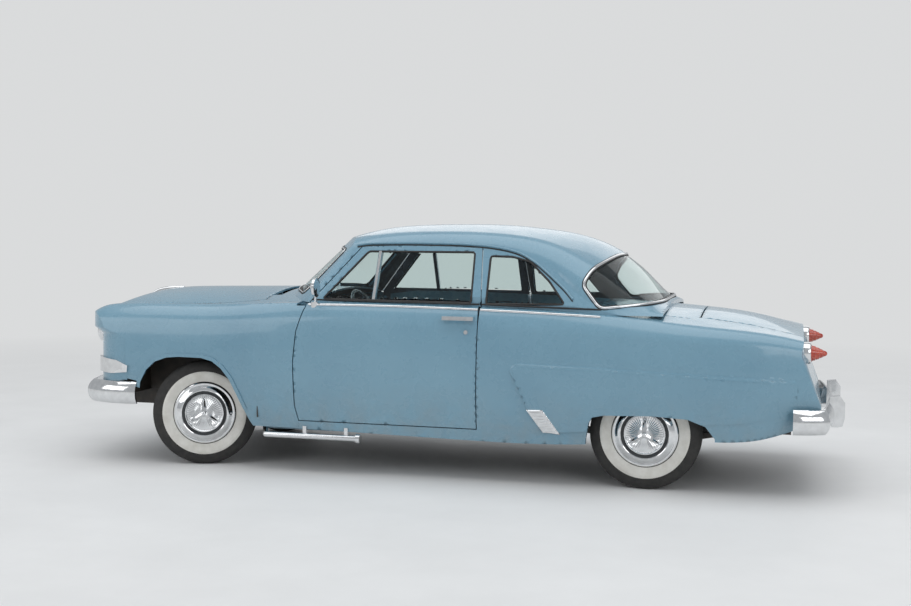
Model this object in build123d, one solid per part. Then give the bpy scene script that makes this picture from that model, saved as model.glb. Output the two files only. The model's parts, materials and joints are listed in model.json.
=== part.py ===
from build123d import *
from collections import namedtuple
import functools
import math
import os

os.makedirs("parts", exist_ok=True)

# Full-size two-door club coupe of the early nineteen-fifties, in millimetres.
# +X points to the front, +Y to the car's left and +Z up. Sizes are measured from the middle
# of the wheelbase on the ground; each finished piece then moves forward by origin_shift,
# so that the origin lies under the middle of the whole car.

# Wheels and track
wheelbase = 2934.0
front_track = 1473.0
rear_track = 1422.0
tyre_radius = 342.0
tyre_width = 170.0
tyre_tread_width = 112.0
tyre_belly_radius = 262.0
bead_radius = 192.0
bead_half_width = 59.7
tyre_sides = 60
rim_width = 132.0
rim_flange_radius = 205.0
rim_wall = 5.0
rim_well_radius = 168.0
cover_radius = 200.0
cover_bulge = 44.0
spinner_disc_radius = 118.0
spinner_disc_rise = 9.0
spinner_blades = 3
spinner_blade_length = 150.0
spinner_blade_root = 30.0
spinner_blade_tip = 46.0
drum_radius = 142.0
drum_depth = 52.0
spindle_radius = 17.0
kingpin_y = 690.0
steer_at_rest = 18.0

# Overall and body
overall_length = 5037.0
origin_shift = 126.5
tail_face_x = -2500.0
fit_gap = 0.3
shut_gap = 6.0
panel_wall = 12.0
body_wall = 60.0
roof_wall = 28.0
sheet = 6.0
hood_half_width = 618.0
hood_rear_x = 1079.0
lid_half_width = 560.0
lid_front_x = -1778.0
lid_gap = 9.0
lid_bottom_z = 640.0
cabin_half_width = 785.0
cabin_rear_x = -1130.0

# Frame
rail_y = 430.0
rail_width = 60.0
rail_height = 100.0
floor_sheet = 12.0
sill_inner_y = 775.0
sill_outer_y = 790.0
sill_top_z = 330.0
sill_upstand_z = 398.0

front_axle_x = wheelbase / 2
rear_axle_x = -wheelbase / 2
axle_z = tyre_radius
far = 4000.0


# Basic shapes

def block(x0, x1, y0, y1, z0, z1):
    """Box between two corners."""
    centre = ((x0 + x1) / 2, (y0 + y1) / 2, (z0 + z1) / 2)
    return Pos(*centre) * Box(abs(x1 - x0), abs(y1 - y0), abs(z1 - z0))


def side_plate(points, y0, y1):
    """Plate with an outline in X and Z, between two Y planes."""
    face = make_face(Polyline(*[Vector(x, y0, z) for x, z in points], close=True))
    return extrude(face, amount=y1 - y0, dir=Vector(0, 1, 0))


def plan_plate(points, z0, z1):
    """Plate with an outline in X and Y, between two Z planes."""
    face = make_face(Polyline(*[Vector(x, y, z0) for x, y in points], close=True))
    return extrude(face, amount=z1 - z0, dir=Vector(0, 0, 1))


def cross_plate(points, x0, x1):
    """Plate with an outline in Y and Z, between two X planes."""
    face = make_face(Polyline(*[Vector(x0, y, z) for y, z in points], close=True))
    return extrude(face, amount=x1 - x0, dir=Vector(1, 0, 0))


def rod(start, end, radius):
    """Round bar between two points."""
    a = Vector(*start)
    b = Vector(*end)
    plane = Plane(origin=a, z_dir=b - a)
    return plane * Pos(0, 0, (b - a).length / 2) * Cylinder(radius, (b - a).length)


def bent_pipe(points, radius):
    """Round pipe along straight runs with round elbows."""
    body = rod(points[0], points[1], radius)
    for a, b in zip(points[1:], points[2:]):
        body += Pos(*a) * Sphere(radius)
        body += rod(a, b, radius)
    return body


def across(x, z, radius, y0, y1):
    """Round bar along Y."""
    return rod((x, y0, z), (x, y1, z), radius)


def other_side(shape):
    return mirror(shape, about=Plane.XZ)


def both_sides(shape):
    return shape + other_side(shape)


def arc_on(start, heading, end):
    """Middle point and final heading of the arc that leaves start along heading and meets end."""
    dy = end[0] - start[0]
    dz = end[1] - start[1]
    chord = math.hypot(dy, dz)
    length = math.hypot(*heading)
    hy = heading[0] / length
    hz = heading[1] / length
    half = math.atan2(hy * dz - hz * dy, hy * dy + hz * dz)
    rise = chord / 2 * math.tan(half / 2)
    middle = (start[0] + dy / 2 + dz / chord * rise, start[1] + dz / 2 - dy / chord * rise)
    c = math.cos(2 * half)
    s = math.sin(2 * half)
    return middle, (hy * c - hz * s, hy * s + hz * c)


# Lower body: closed cross sections from the lower edge over the side, shoulder and fender crest
# to the valley beside the hood or deck, and an arc over the crown.

BodySection = namedtuple(
    "BodySection",
    "x edge_y edge_z side_y side_z shoulder_y shoulder_z crest_y crest_z valley_y valley_z crown_z",
)
body_sections = [
    BodySection(-2500, 770, 440, 822, 690, 806, 855, 735, 915, 600, 920, 934),
    BodySection(-2330, 800, 400, 850, 690, 836, 872, 760, 950, 610, 958, 975),
    BodySection(-2150, 835, 345, 888, 690, 872, 890, 785, 980, 620, 992, 1028),
    BodySection(-1750, 860, 320, 915, 690, 898, 905, 800, 1015, 635, 1040, 1082),
    BodySection(-1340, 868, 290, 926, 700, 908, 925, 830, 1048, 700, 1070, 1105),
    BodySection(-900, 870, 262, 930, 710, 912, 940, 852, 1070, 790, 1084, 1120),
    BodySection(-300, 870, 262, 931, 720, 914, 955, 853, 1086, 795, 1099, 1140),
    BodySection(400, 870, 275, 931, 725, 914, 960, 853, 1091, 795, 1104, 1150),
    BodySection(900, 868, 281, 928, 720, 909, 955, 835, 1082, 740, 1088, 1158),
    BodySection(1300, 864, 290, 922, 715, 900, 940, 785, 1066, 650, 1060, 1152),
    BodySection(1800, 858, 400, 912, 710, 888, 935, 762, 1060, 635, 1046, 1140),
    BodySection(2100, 845, 495, 898, 705, 874, 928, 750, 1046, 625, 1032, 1106),
    BodySection(2230, 832, 545, 880, 700, 856, 910, 735, 1010, 615, 1002, 1042),
    BodySection(2290, 815, 560, 862, 700, 838, 880, 715, 955, 600, 948, 965),
]


def body_wire(s, inset, drop):
    low = (s.edge_y - inset, s.edge_z - drop)
    side = (s.side_y - inset, s.side_z)
    shoulder = (s.shoulder_y - inset, s.shoulder_z - 0.15 * inset)
    crest = (s.crest_y - 0.75 * inset, s.crest_z - 0.75 * inset)
    valley = (s.valley_y - 0.2 * inset, s.valley_z - inset)
    crown = (0, s.crown_z - inset)
    low_mid, _ = arc_on(side, (0, -1), low)
    side_mid, heading = arc_on(side, (0, 1), shoulder)
    crest_mid, _ = arc_on(shoulder, heading, crest)

    def at(point, sign=1):
        return Vector(s.x, sign * point[0], point[1])

    return Wire([
        Edge.make_line(at(low, -1), at(low)),
        Edge.make_three_point_arc(at(low), at(low_mid), at(side)),
        Edge.make_three_point_arc(at(side), at(side_mid), at(shoulder)),
        Edge.make_three_point_arc(at(shoulder), at(crest_mid), at(crest)),
        Edge.make_line(at(crest), at(valley)),
        Edge.make_three_point_arc(at(valley), at(crown), at(valley, -1)),
        Edge.make_line(at(valley, -1), at(crest, -1)),
        Edge.make_three_point_arc(at(crest, -1), at(crest_mid, -1), at(shoulder, -1)),
        Edge.make_three_point_arc(at(shoulder, -1), at(side_mid, -1), at(side, -1)),
        Edge.make_three_point_arc(at(side, -1), at(low_mid, -1), at(low, -1)),
    ])


# The ends in plan: rounded corners, with the front face set back under the lamp hoods and the
# tail leaning out towards the bumper.

EndLevel = namedtuple("EndLevel", "z front_x tail_x")
end_levels = [
    EndLevel(100, 2230, -2500),
    EndLevel(560, 2230, -2500),
    EndLevel(850, 2230, -2392),
    EndLevel(892, 2290, -2390),
    EndLevel(1400, 2290, -2390),
]
corner_outer_y = 900.0
front_corner = (270.0, 280.0)
tail_corner = (120.0, 130.0)


def end_wire(level, inset):
    """Plan outline of the body at one height."""
    k = math.sin(math.radians(45))
    outer = corner_outer_y - inset
    points = []
    for end_x, sign, (length, width) in ((level.front_x, 1, front_corner), (level.tail_x, -1, tail_corner)):
        x = end_x - sign * inset
        start = (x - sign * length, outer)
        middle = (x - sign * length * (1 - k), outer - width * (1 - k))
        points.append((start, middle, (x, outer - width)))
    (fa, fm, fb), (ta, tm, tb) = points
    side = 1000.0
    z = level.z

    def at(point, sign=1):
        return Vector(point[0], sign * point[1], z)

    return Wire([
        Edge.make_three_point_arc(at(fa), at(fm), at(fb)),
        Edge.make_line(at(fb), at(fb, -1)),
        Edge.make_three_point_arc(at(fb, -1), at(fm, -1), at(fa, -1)),
        Edge.make_line(at(fa, -1), at((fa[0] - 60, side), -1)),
        Edge.make_line(at((fa[0] - 60, side), -1), at((ta[0] + 60, side), -1)),
        Edge.make_line(at((ta[0] + 60, side), -1), at(ta, -1)),
        Edge.make_three_point_arc(at(ta, -1), at(tm, -1), at(tb, -1)),
        Edge.make_line(at(tb, -1), at(tb)),
        Edge.make_three_point_arc(at(tb), at(tm), at(ta)),
        Edge.make_line(at(ta), at((ta[0] + 60, side))),
        Edge.make_line(at((ta[0] + 60, side)), at((fa[0] - 60, side))),
        Edge.make_line(at((fa[0] - 60, side)), at(fa)),
    ])


def end_limit(inset):
    return Solid.make_loft([end_wire(level, inset) for level in end_levels], ruled=True)


@functools.lru_cache
def body_loft(inset, drop=0.0, end_inset=None):
    sections = Solid.make_loft([body_wire(s, inset, drop) for s in body_sections])
    return sections & end_limit(inset if end_inset is None else end_inset)


inner_drop = 250.0
body_outer = body_loft(0)
body_seat = body_loft(-fit_gap)
panel_inner = body_loft(panel_wall, inner_drop)
panel_limit = body_loft(panel_wall + fit_gap, inner_drop)
wall_inner = body_loft(body_wall, inner_drop, panel_wall)
wall_limit = body_loft(body_wall + fit_gap, inner_drop, panel_wall + fit_gap)
body_skin = body_outer - panel_inner
body_walls = body_outer - wall_inner

# Upper body: side glass leans in from the belt to the drip edge, then a tight corner arc and a
# shallow crown arc form the roof. Towards the rear the drip edge falls to the deck.

RoofSection = namedtuple("RoofSection", "x belt_y drip_y drip_z corner_y corner_z crown_z")
roof_sections = [
    RoofSection(-1560, 772, 752, 1078, 560, 1105, 1118),
    RoofSection(-1400, 790, 768, 1085, 600, 1190, 1275),
    RoofSection(-1210, 812, 785, 1110, 610, 1310, 1434),
    RoofSection(-1010, 826, 748, 1210, 575, 1425, 1524),
    RoofSection(-860, 833, 695, 1332, 540, 1490, 1560),
    RoofSection(-700, 838, 655, 1428, 525, 1530, 1582),
    RoofSection(-500, 843, 642, 1473, 525, 1553, 1600),
    RoofSection(-220, 846, 642, 1487, 525, 1563, 1607),
    RoofSection(100, 846, 640, 1488, 520, 1557, 1600),
    RoofSection(480, 833, 628, 1462, 500, 1513, 1552),
    RoofSection(640, 822, 618, 1424, 490, 1462, 1492),
    RoofSection(1000, 800, 600, 1270, 470, 1300, 1330),
]
belt_z = 1060.0


def roof_wire(s, inset):
    belt = (s.belt_y - inset, belt_z)
    drip = (s.drip_y - inset, s.drip_z - 0.3 * inset)
    corner = (s.corner_y - 0.35 * inset, s.corner_z - 0.9 * inset)
    sag = s.crown_z - s.corner_z
    radius = (s.corner_y ** 2 + sag ** 2) / (2 * sag)
    slope = s.corner_y / (radius - sag)
    corner_mid, _ = arc_on(corner, (1, -slope), drip)

    def at(y, z):
        return Vector(s.x, y, z)

    return Wire([
        Edge.make_line(at(-belt[0], belt[1]), at(*belt)),
        Edge.make_line(at(*belt), at(*drip)),
        Edge.make_three_point_arc(at(*drip), at(*corner_mid), at(*corner)),
        Edge.make_three_point_arc(at(*corner), at(0, s.crown_z - inset), at(-corner[0], corner[1])),
        Edge.make_three_point_arc(
            at(-corner[0], corner[1]), at(-corner_mid[0], corner_mid[1]), at(-drip[0], drip[1])
        ),
        Edge.make_line(at(-drip[0], drip[1]), at(-belt[0], belt[1])),
    ])


def roof_loft(inset):
    return Solid.make_loft([roof_wire(s, inset) for s in roof_sections])


# The windshield is one bent sheet: an arc in plan that leans back as it rises.
screen_base_x = 996.0
screen_base_z = 1158.0
screen_lean = 358.0 / 331.0
screen_half_width = 800.0
screen_bow = 349.0
screen_low_z = 1000.0
screen_high_z = 1700.0


def screen_wire(z, inset):
    middle = screen_base_x - inset - (z - screen_base_z) * screen_lean
    corner = middle - screen_bow
    half = screen_half_width
    return Wire([
        Edge.make_three_point_arc(Vector(corner, -half, z), Vector(middle, 0, z), Vector(corner, half, z)),
        Edge.make_line(Vector(corner, half, z), Vector(-far, half, z)),
        Edge.make_line(Vector(-far, half, z), Vector(-far, -half, z)),
        Edge.make_line(Vector(-far, -half, z), Vector(corner, -half, z)),
    ])


def screen_solid(inset):
    return Solid.make_loft([screen_wire(screen_low_z, inset), screen_wire(screen_high_z, inset)], ruled=True)


def upper_shell(outside, inside):
    """Skin of the upper body between two insets."""
    return (roof_loft(outside) & screen_solid(outside)) - (roof_loft(inside) & screen_solid(inside))


# Openings in side view: X and Z

door_outline = [
    (736, 338), (757, 430), (762, 716), (746, 911), (706, 1050), (690, 1100),
    (385, 1462), (-405, 1468), (-437, 1090), (-433, 338),
]
door_window = [(612, 1118), (345, 1425), (-362, 1430), (-374, 1116)]
quarter_window = [(-470, 1112), (-466, 1408), (-610, 1405), (-722, 1376), (-855, 1256), (-962, 1120)]
rear_window = [
    (-1178, 1098), (-1062, 1240), (-1110, 1335), (-1215, 1418),
    (-1700, 1520), (-1700, 1150), (-1500, 1135),
]
screen_opening = [(0, 1178), (590, 1150), (668, 1140), (600, 1432), (0, 1462)]
vent_post_x = 265.0
vent_post_width = 24.0


def ring_points(points, amount):
    """Outline moved square to each side by an amount, corners kept sharp."""
    count = len(points)
    area = sum(
        points[i][0] * points[(i + 1) % count][1] - points[(i + 1) % count][0] * points[i][1]
        for i in range(count)
    )
    turn = 1 if area > 0 else -1
    lines = []
    for i in range(count):
        ax, az = points[i]
        bx, bz = points[(i + 1) % count]
        length = math.hypot(bx - ax, bz - az)
        nx = turn * (bz - az) / length
        nz = -turn * (bx - ax) / length
        lines.append((nx, nz, nx * ax + nz * az + amount))
    moved = []
    for i in range(count):
        a1, b1, c1 = lines[i - 1]
        a2, b2, c2 = lines[i]
        det = a1 * b2 - a2 * b1
        moved.append(((c1 * b2 - c2 * b1) / det, (a1 * c2 - a2 * c1) / det))
    return moved


nodes = {}


def add(name, shape):
    nodes[name] = shape


# Frame: two box rails with a kick-up over the rear axle, and cross-members.

rail_line = [(2180, 340), (1150, 340), (1000, 270), (-950, 270), (-1130, 420), (-1780, 420), (-1950, 330), (-2330, 330)]
rail_top = [(x, z + rail_height) for x, z in rail_line]
rail_inner_y = rail_y - rail_width / 2
rail_outer_y = rail_y + rail_width / 2
frame = both_sides(side_plate(rail_line + rail_top[::-1], rail_inner_y, rail_outer_y))
cross_members = [(1930, 350, 430), (400, 280, 335), (-650, 280, 325), (-1850, 390, 445), (-2290, 340, 420)]
for x, z0, z1 in cross_members:
    frame += block(x - 40, x + 40, -rail_inner_y, rail_inner_y, z0, z1)
front_beam_half = 70.0
front_beam_z0 = 262.0
front_beam_z1 = 368.0
frame += block(front_axle_x - front_beam_half, front_axle_x + front_beam_half, -rail_outer_y, rail_outer_y,
               front_beam_z0, front_beam_z1)

# Floor with tunnel, kick-up, boot floor and wheel tubs; firewall and seat riser join it.

firewall_x = 1010.0
floor_line = [(firewall_x, 370), (-965, 370), (-1145, 520), (tail_face_x + panel_wall + fit_gap, 520)]
floor_top = [(x, z + floor_sheet) for x, z in floor_line]
floor_half_width = sill_inner_y
tunnel_radius = 150.0
tunnel_z = 370.0
tub_radius = 392.0
tub_inner_y = 604.0
tunnel_rear_x = -1150.0
floor = side_plate(floor_line + floor_top[::-1], -far, far)
floor -= block(cabin_rear_x, far, floor_half_width, far, 0, 2000)
floor -= block(cabin_rear_x, far, -far, -floor_half_width, 0, 2000)
tunnel_hollow = rod((far, 0, tunnel_z), (tunnel_rear_x - 1, 0, tunnel_z), tunnel_radius - sheet)
tunnel = rod((firewall_x, 0, tunnel_z), (tunnel_rear_x, 0, tunnel_z), tunnel_radius)
floor += tunnel & block(-far, far, -far, far, tunnel_z, 2000)
floor -= tunnel_hollow
seat_tunnel = rod((firewall_x, 0, tunnel_z), (tunnel_rear_x, 0, tunnel_z), tunnel_radius + fit_gap)
for side in (1, -1):
    hollow = across(rear_axle_x, axle_z, tub_radius - sheet, side * tub_inner_y, side * far)
    shell = across(rear_axle_x, axle_z, tub_radius, side * (tub_inner_y - sheet), side * far) - hollow
    floor = floor - hollow + (shell & block(-far, far, -far, far, 400, 2000))
floor = floor & wall_limit
floor -= frame

# Cowl: firewall, top panel ahead of the windshield, vent recess and hinge pillars.

cowl_rear_x = 700.0
cowl_front_x = 1071.0
cowl_plan = [
    (cowl_front_x, 622), (1003, 622), (1003, 749), (cowl_rear_x, 749),
    (cowl_rear_x, -749), (1003, -749), (1003, -622), (cowl_front_x, -622),
]
column_top = (430.0, 370.0, 960.0)
column_tilt = 28.0
column_length = 700.0
column_radius = 20.0
column_foot = (
    column_top[0] + column_length * math.cos(math.radians(column_tilt)), column_top[1],
    column_top[2] - column_length * math.sin(math.radians(column_tilt)),
)
vent_recess = 28.0
vent_half_width = 500.0
vent_rear_x = 1006.0
hood_pin_x = 1030.0
hood_pin_z = 1098.0
hood_arm_y = 300.0
hood_arm_width = 16.0
hood_pin_radius = 6.0
cowl = body_skin & plan_plate(cowl_plan, 900, 1300)
recess_area = block(vent_rear_x, cowl_front_x + 1, -vent_half_width, vent_half_width, 900, 1300)
cowl -= recess_area
cowl += (body_loft(vent_recess) - body_loft(vent_recess + sheet, inner_drop)) & block(
    vent_rear_x - 6, cowl_front_x, -vent_half_width, vent_half_width, 900, 1300)
firewall = block(firewall_x, firewall_x + sheet, -620, 620, floor_line[0][1], 1300) & panel_inner
cowl += firewall & body_loft(vent_recess + sheet / 2, inner_drop)
pillar_inner_y = 735.0
pillar_outer_y = 775.0
cowl_side_y = 749.0
pillar_foot_z = floor_line[0][1] + floor_sheet + fit_gap
pillar = block(690, firewall_x + sheet, pillar_inner_y, pillar_outer_y, pillar_foot_z, 1400) & panel_limit
pillar += block(cowl_rear_x, 1003, pillar_inner_y, cowl_side_y, 900, 1400) & body_loft(panel_wall / 2, inner_drop)
cowl += both_sides(pillar)
cowl += both_sides(block(firewall_x, firewall_x + sheet, 600, 760, pillar_foot_z, 1030)) & panel_limit
cowl -= tunnel_hollow + frame
cowl -= rod(column_top, column_foot, column_radius + fit_gap)

# Door hinges: two leaves on each pillar with a pin inside the door edge.

hinge_x = 667.0
hinge_y = 905.0
hinge_heights = (600.0, 820.0)
leaf_half = 8.0
pocket_half = 16.0
pocket_radius = 110.0
pin_radius = 5.0
pin_half = 32.0
leaf_skin = 9.0
leaf_limit = body_loft(leaf_skin + 2, inner_drop)
leaves = None
for z in hinge_heights:
    leaf = plan_plate([(hinge_x - 8, hinge_y + 4), (hinge_x + 8, hinge_y + 4), (hinge_x + 62, pillar_outer_y - 4),
                       (hinge_x + 24, pillar_outer_y - 4)], z - leaf_half, z + leaf_half) & leaf_limit
    leaf += rod((hinge_x, hinge_y, z - pin_half), (hinge_x, hinge_y, z + pin_half), pin_radius)
    leaves = leaf if leaves is None else leaves + leaf
cowl += both_sides(leaves)
for side in (1, -1):
    y = side * hood_arm_y
    cowl += block(firewall_x, hood_pin_x + 10, y + 12 * side, y + 22 * side, hood_pin_z - 14, hood_pin_z + 8)
    cowl += across(hood_pin_x, hood_pin_z, hood_pin_radius, y - 10 * side, y + 16 * side)
    cowl -= block(hood_pin_x - 22, cowl_front_x + 1, y - 12, y + 12, hood_pin_z - 60, 1300) - across(
        hood_pin_x, hood_pin_z, hood_pin_radius, y - 12, y + 12)

# Front fenders: outer skin with an arched opening and a lamp housing.

fender_inner_y = 623.0
hood_taper_x0 = 2060.0
hood_taper_x1 = 2170.0
hood_nose_half = 535.0
hood_lower_z = 872.0
hood_side_gap = 5.0
fender_plan = [
    (far, hood_nose_half + hood_side_gap), (hood_taper_x1, hood_nose_half + hood_side_gap),
    (hood_taper_x0, fender_inner_y), (1003.3, fender_inner_y), (1003.3, cowl_side_y + fit_gap),
    (768, cowl_side_y + fit_gap), (768, 1200), (far, 1200),
]
arch_outline = [
    (1868, 430), (1850, 540), (1800, 625), (1735, 682), (1650, 712), (1560, 720), (1400, 718), (1325, 700),
    (1262, 655), (1205, 585), (1158, 490), (1118, 400), (1080, 320), (1000, 200), (1868, 200),
]
door_front = [(736, 0)] + door_outline[:6] + [(600, 1300), (far, 1300), (far, 0)]
fender_rear = ring_points(door_front, -shut_gap)
fender_rear_solid = side_plate([(x, z) for x, z in fender_rear], 300, 1200)
lamp_y = 650.0
lamp_z = 862.0
lamp_radius = 84.0
lamp_face_x = 2230.0
fender = body_skin & plan_plate(fender_plan, 100, 1400) & fender_rear_solid
arch_lip_width = 24.0
arch_lip_rise = 7.0
lip_low_z = 330.0
arch_rim = side_plate(ring_points(arch_outline, arch_lip_width), 700, 1200)
arch_rim &= block(1000, 1900, 700, 1200, lip_low_z, 900)
fender += (body_loft(-arch_lip_rise) & arch_rim) - panel_inner
fender -= side_plate(arch_outline, 600, 1200)
fender -= rod((2100, lamp_y, lamp_z), (2400, lamp_y, lamp_z), lamp_radius)
grille_half = [(545, 815), (640, 760), (700, 700), (640, 615), (545, 590)]
grille_hole = grille_half + [(-y, z) for y, z in grille_half[::-1]]
grille_cut = cross_plate(grille_hole, 2100, 2400)
fender -= grille_cut
add("front_fender_left", fender)
add("front_fender_right", other_side(fender))

# Inner aprons beside the engine, with a splash plate behind and ahead of each wheel.

apron_y = 452.0
apron_rear_x = firewall_x + sheet + fit_gap
apron_front_x = 2149.7
apron_low_z = 441.0
apron_top_z = 985.0
splash_front_x = 1995.0
apron_plate = block(apron_rear_x, apron_front_x, apron_y, apron_y + sheet, apron_low_z, apron_top_z)
apron_plate += block(apron_rear_x, apron_rear_x + sheet, apron_y, 900, 345, 1020)
apron_plate += block(splash_front_x, splash_front_x + sheet, apron_y, 900, apron_low_z, 1000)
apron_plate += block(apron_rear_x, apron_front_x, apron_y, 660, apron_top_z, apron_top_z + sheet)
apron = both_sides(apron_plate) & panel_limit
apron -= both_sides(block(splash_front_x - 1, splash_front_x + sheet + 1, 838, 1000, 0, 560))
apron -= side_plate(arch_outline, 700, 1200)
apron -= side_plate(arch_outline, -1200, -700)
apron -= frame
add("inner_aprons", apron)

# Hood: centre panel between the fenders, hinged at its rear edge.

hood_half_plan = [(hood_rear_x, hood_half_width), (hood_taper_x0, hood_half_width), (hood_taper_x1, hood_nose_half),
                  (far, hood_nose_half)]
hood_plan = hood_half_plan + [(x, -y) for x, y in hood_half_plan[::-1]]
hood = body_skin & plan_plate(hood_plan, hood_lower_z, 1400)
for side in (1, -1):
    y = side * hood_arm_y
    arm = side_plate(
        [(hood_pin_x - 10, hood_pin_z - 12), (hood_rear_x + 30, hood_pin_z - 6), (hood_rear_x + 60, 1142),
         (hood_rear_x + 8, 1142), (hood_rear_x + 2, hood_pin_z + 8), (hood_pin_x - 10, hood_pin_z + 11)],
        y - hood_arm_width / 2, y + hood_arm_width / 2)
    arm -= across(hood_pin_x, hood_pin_z, hood_pin_radius + fit_gap, y - 20, y + 20)
    hood += arm & body_outer

# Front panel below the hood: grille surround and lower pan.

pan_half_width = hood_nose_half + hood_side_gap - fit_gap
pan_top_z = 572.0
pan_rear_x = 2150.0
front_panel = body_skin & block(2100, far, -pan_half_width, pan_half_width, 500, hood_lower_z - shut_gap)
front_panel -= grille_cut
front_panel += block(pan_rear_x, 2220, -470, 470, 560, pan_top_z)
front_panel += both_sides(block(pan_rear_x, 2180, 380, 470, rail_line[0][1] + rail_height, pan_top_z))

# Rear quarters with the rockers and the rear arches.

rear_arch = [
    (-1112, 200), (-1118, 310), (-1137, 409), (-1160, 446), (-1229, 461), (-1518, 469), (-1729, 457),
    (-1835, 415), (-1889, 343), (-1900, 200),
]
door_opening = ring_points(door_outline, shut_gap)
quarter = body_walls
quarter = quarter & block(tail_face_x, cowl_rear_x + 58, 300, 1200, 0, 1400)
quarter -= block(cabin_rear_x, far, 0, cabin_half_width, 0, 1400)
lid_side_y = lid_half_width + shut_gap
deck_half_width = 640.0
quarter -= block(-far, cabin_rear_x + 1, 0, lid_side_y, 0, 1400)
quarter -= block(lid_front_x + lid_gap, cabin_rear_x + 1, 0, deck_half_width, 900, 1400)
quarter -= block(-far, cabin_rear_x + 1, 0, deck_half_width, 0, 600)
bulge_rise = [(-2500, 1), (-2330, 1.5), (-2150, 3), (-1750, 6.5), (-1340, 10)]
bulge_front_rise = 12.0
bulge_outline = [(-652, 713), (-690, 752), (-1085, 744), (-1724, 721), (-2360, 702), (-2360, 250), (-1100, 250),
                 (-860, 335), (-760, 485)]
rise_at = dict(bulge_rise)
bulge_outer = Solid.make_loft([body_wire(s, -rise_at.get(s.x, bulge_front_rise), 0) for s in body_sections])
quarter += (bulge_outer & side_plate(bulge_outline, 700, 1200)) - panel_inner
quarter -= side_plate(door_opening, 300, 1200)
quarter -= side_plate([(736, 332), (far, 332), (far, 1400), (690, 1400), (690, 1106), (706, 1050)], 300, 1200)
quarter -= side_plate(rear_arch, 700, 1200)
sill = block(-442, 1000, sill_inner_y, sill_outer_y, 262, sill_upstand_z)
sill += body_outer & block(-442, 757, sill_outer_y - 1, 1000, 255, sill_top_z)
quarter += sill
tail_lamp_y = 690.0
tail_lamp_z = 861.0
tail_lamp_radius = 64.0
tail_lamp_x = -2392.0
quarter -= rod((tail_lamp_x - 60, tail_lamp_y, tail_lamp_z), (tail_lamp_x + 90, tail_lamp_y, tail_lamp_z),
               tail_lamp_radius - 12)
quarter -= floor

# Deck and tail: shelf under the rear window, deck rail ahead of the lid, lower tail panel.

lid_pin_x = -1640.0
lid_pin_z = 1030.0
lid_arm_y = 400.0
lid_arm_width = 14.0
lid_pin_radius = 6.0
deck_edge_y = deck_half_width - fit_gap
deck = body_skin & block(lid_front_x + lid_gap, cabin_rear_x, -deck_edge_y, deck_edge_y, 900, 1400)
for side in (1, -1):
    y = side * lid_arm_y
    ear = block(lid_pin_x - 14, lid_pin_x + 14, y + 9 * side, y + 17 * side, lid_pin_z - 14, 1200) & body_outer
    deck += ear + across(lid_pin_x, lid_pin_z, lid_pin_radius, y - 9 * side, y + 12 * side)
tail_edge_y = lid_side_y - fit_gap
tail = body_skin & block(-far, -2300, -tail_edge_y, tail_edge_y, 440, lid_bottom_z - shut_gap)

# Trunk lid with curved hinge arms.

lid = body_skin & block(-far, lid_front_x, -lid_half_width, lid_half_width, lid_bottom_z, 1400)
neck_inner = 166.0
neck_outer = 184.0
for side in (1, -1):
    y = side * lid_arm_y
    y0 = y - lid_arm_width / 2
    y1 = y + lid_arm_width / 2
    ring = across(lid_pin_x, lid_pin_z, neck_outer, y0, y1) - across(lid_pin_x, lid_pin_z, neck_inner, y0 - 1, y1 + 1)
    reach = 400.0
    sector = side_plate(
        [(lid_pin_x, lid_pin_z)] + [
            (lid_pin_x + reach * math.cos(math.radians(a)), lid_pin_z + reach * math.sin(math.radians(a)))
            for a in (166, 200, 240)
        ], y0 - 1, y1 + 1)
    neck = ring & sector
    tip = (lid_pin_x + neck_outer * math.cos(math.radians(238)), lid_pin_z + neck_outer * math.sin(math.radians(238)))
    nx = math.sin(math.radians(238)) * 8
    nz = -math.cos(math.radians(238)) * 8
    neck += side_plate([(lid_pin_x + nx, lid_pin_z + nz), (tip[0] + nx, tip[1] + nz), (tip[0] - nx, tip[1] - nz),
                        (lid_pin_x - nx, lid_pin_z - nz)], y0, y1)
    neck += across(lid_pin_x, lid_pin_z, 13, y0, y1)
    neck -= across(lid_pin_x, lid_pin_z, lid_pin_radius + fit_gap, y0 - 5, y1 + 5)
    lid += neck & body_outer

# Roof with pillars, side doors, and glass.

shell = upper_shell(0, roof_wall)
roof = shell - side_plate(door_opening, 0, far) - side_plate([(x, z) for x, z in door_opening], -far, 0)
roof -= side_plate(quarter_window, -far, far)
roof -= side_plate(rear_window, -far, far)
roof -= cross_plate(screen_opening + [(-y, z) for y, z in screen_opening[-2:0:-1]], 300, 1300)
roof -= body_seat

glass_inset = 8.0
glass_thickness = 5.0
pane = upper_shell(glass_inset, glass_inset + glass_thickness)
vent_post = [(vent_post_x - vent_post_width / 2, 1000), (vent_post_x + vent_post_width / 2, 1000),
             (vent_post_x + vent_post_width / 2, 1500), (vent_post_x - vent_post_width / 2, 1500)]


door_front_inner_y = 815.0
door_rear_x = -437.0
door_rear_relief = 20.0
frame_step = 8.0
frame_skin = 14.0


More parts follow.
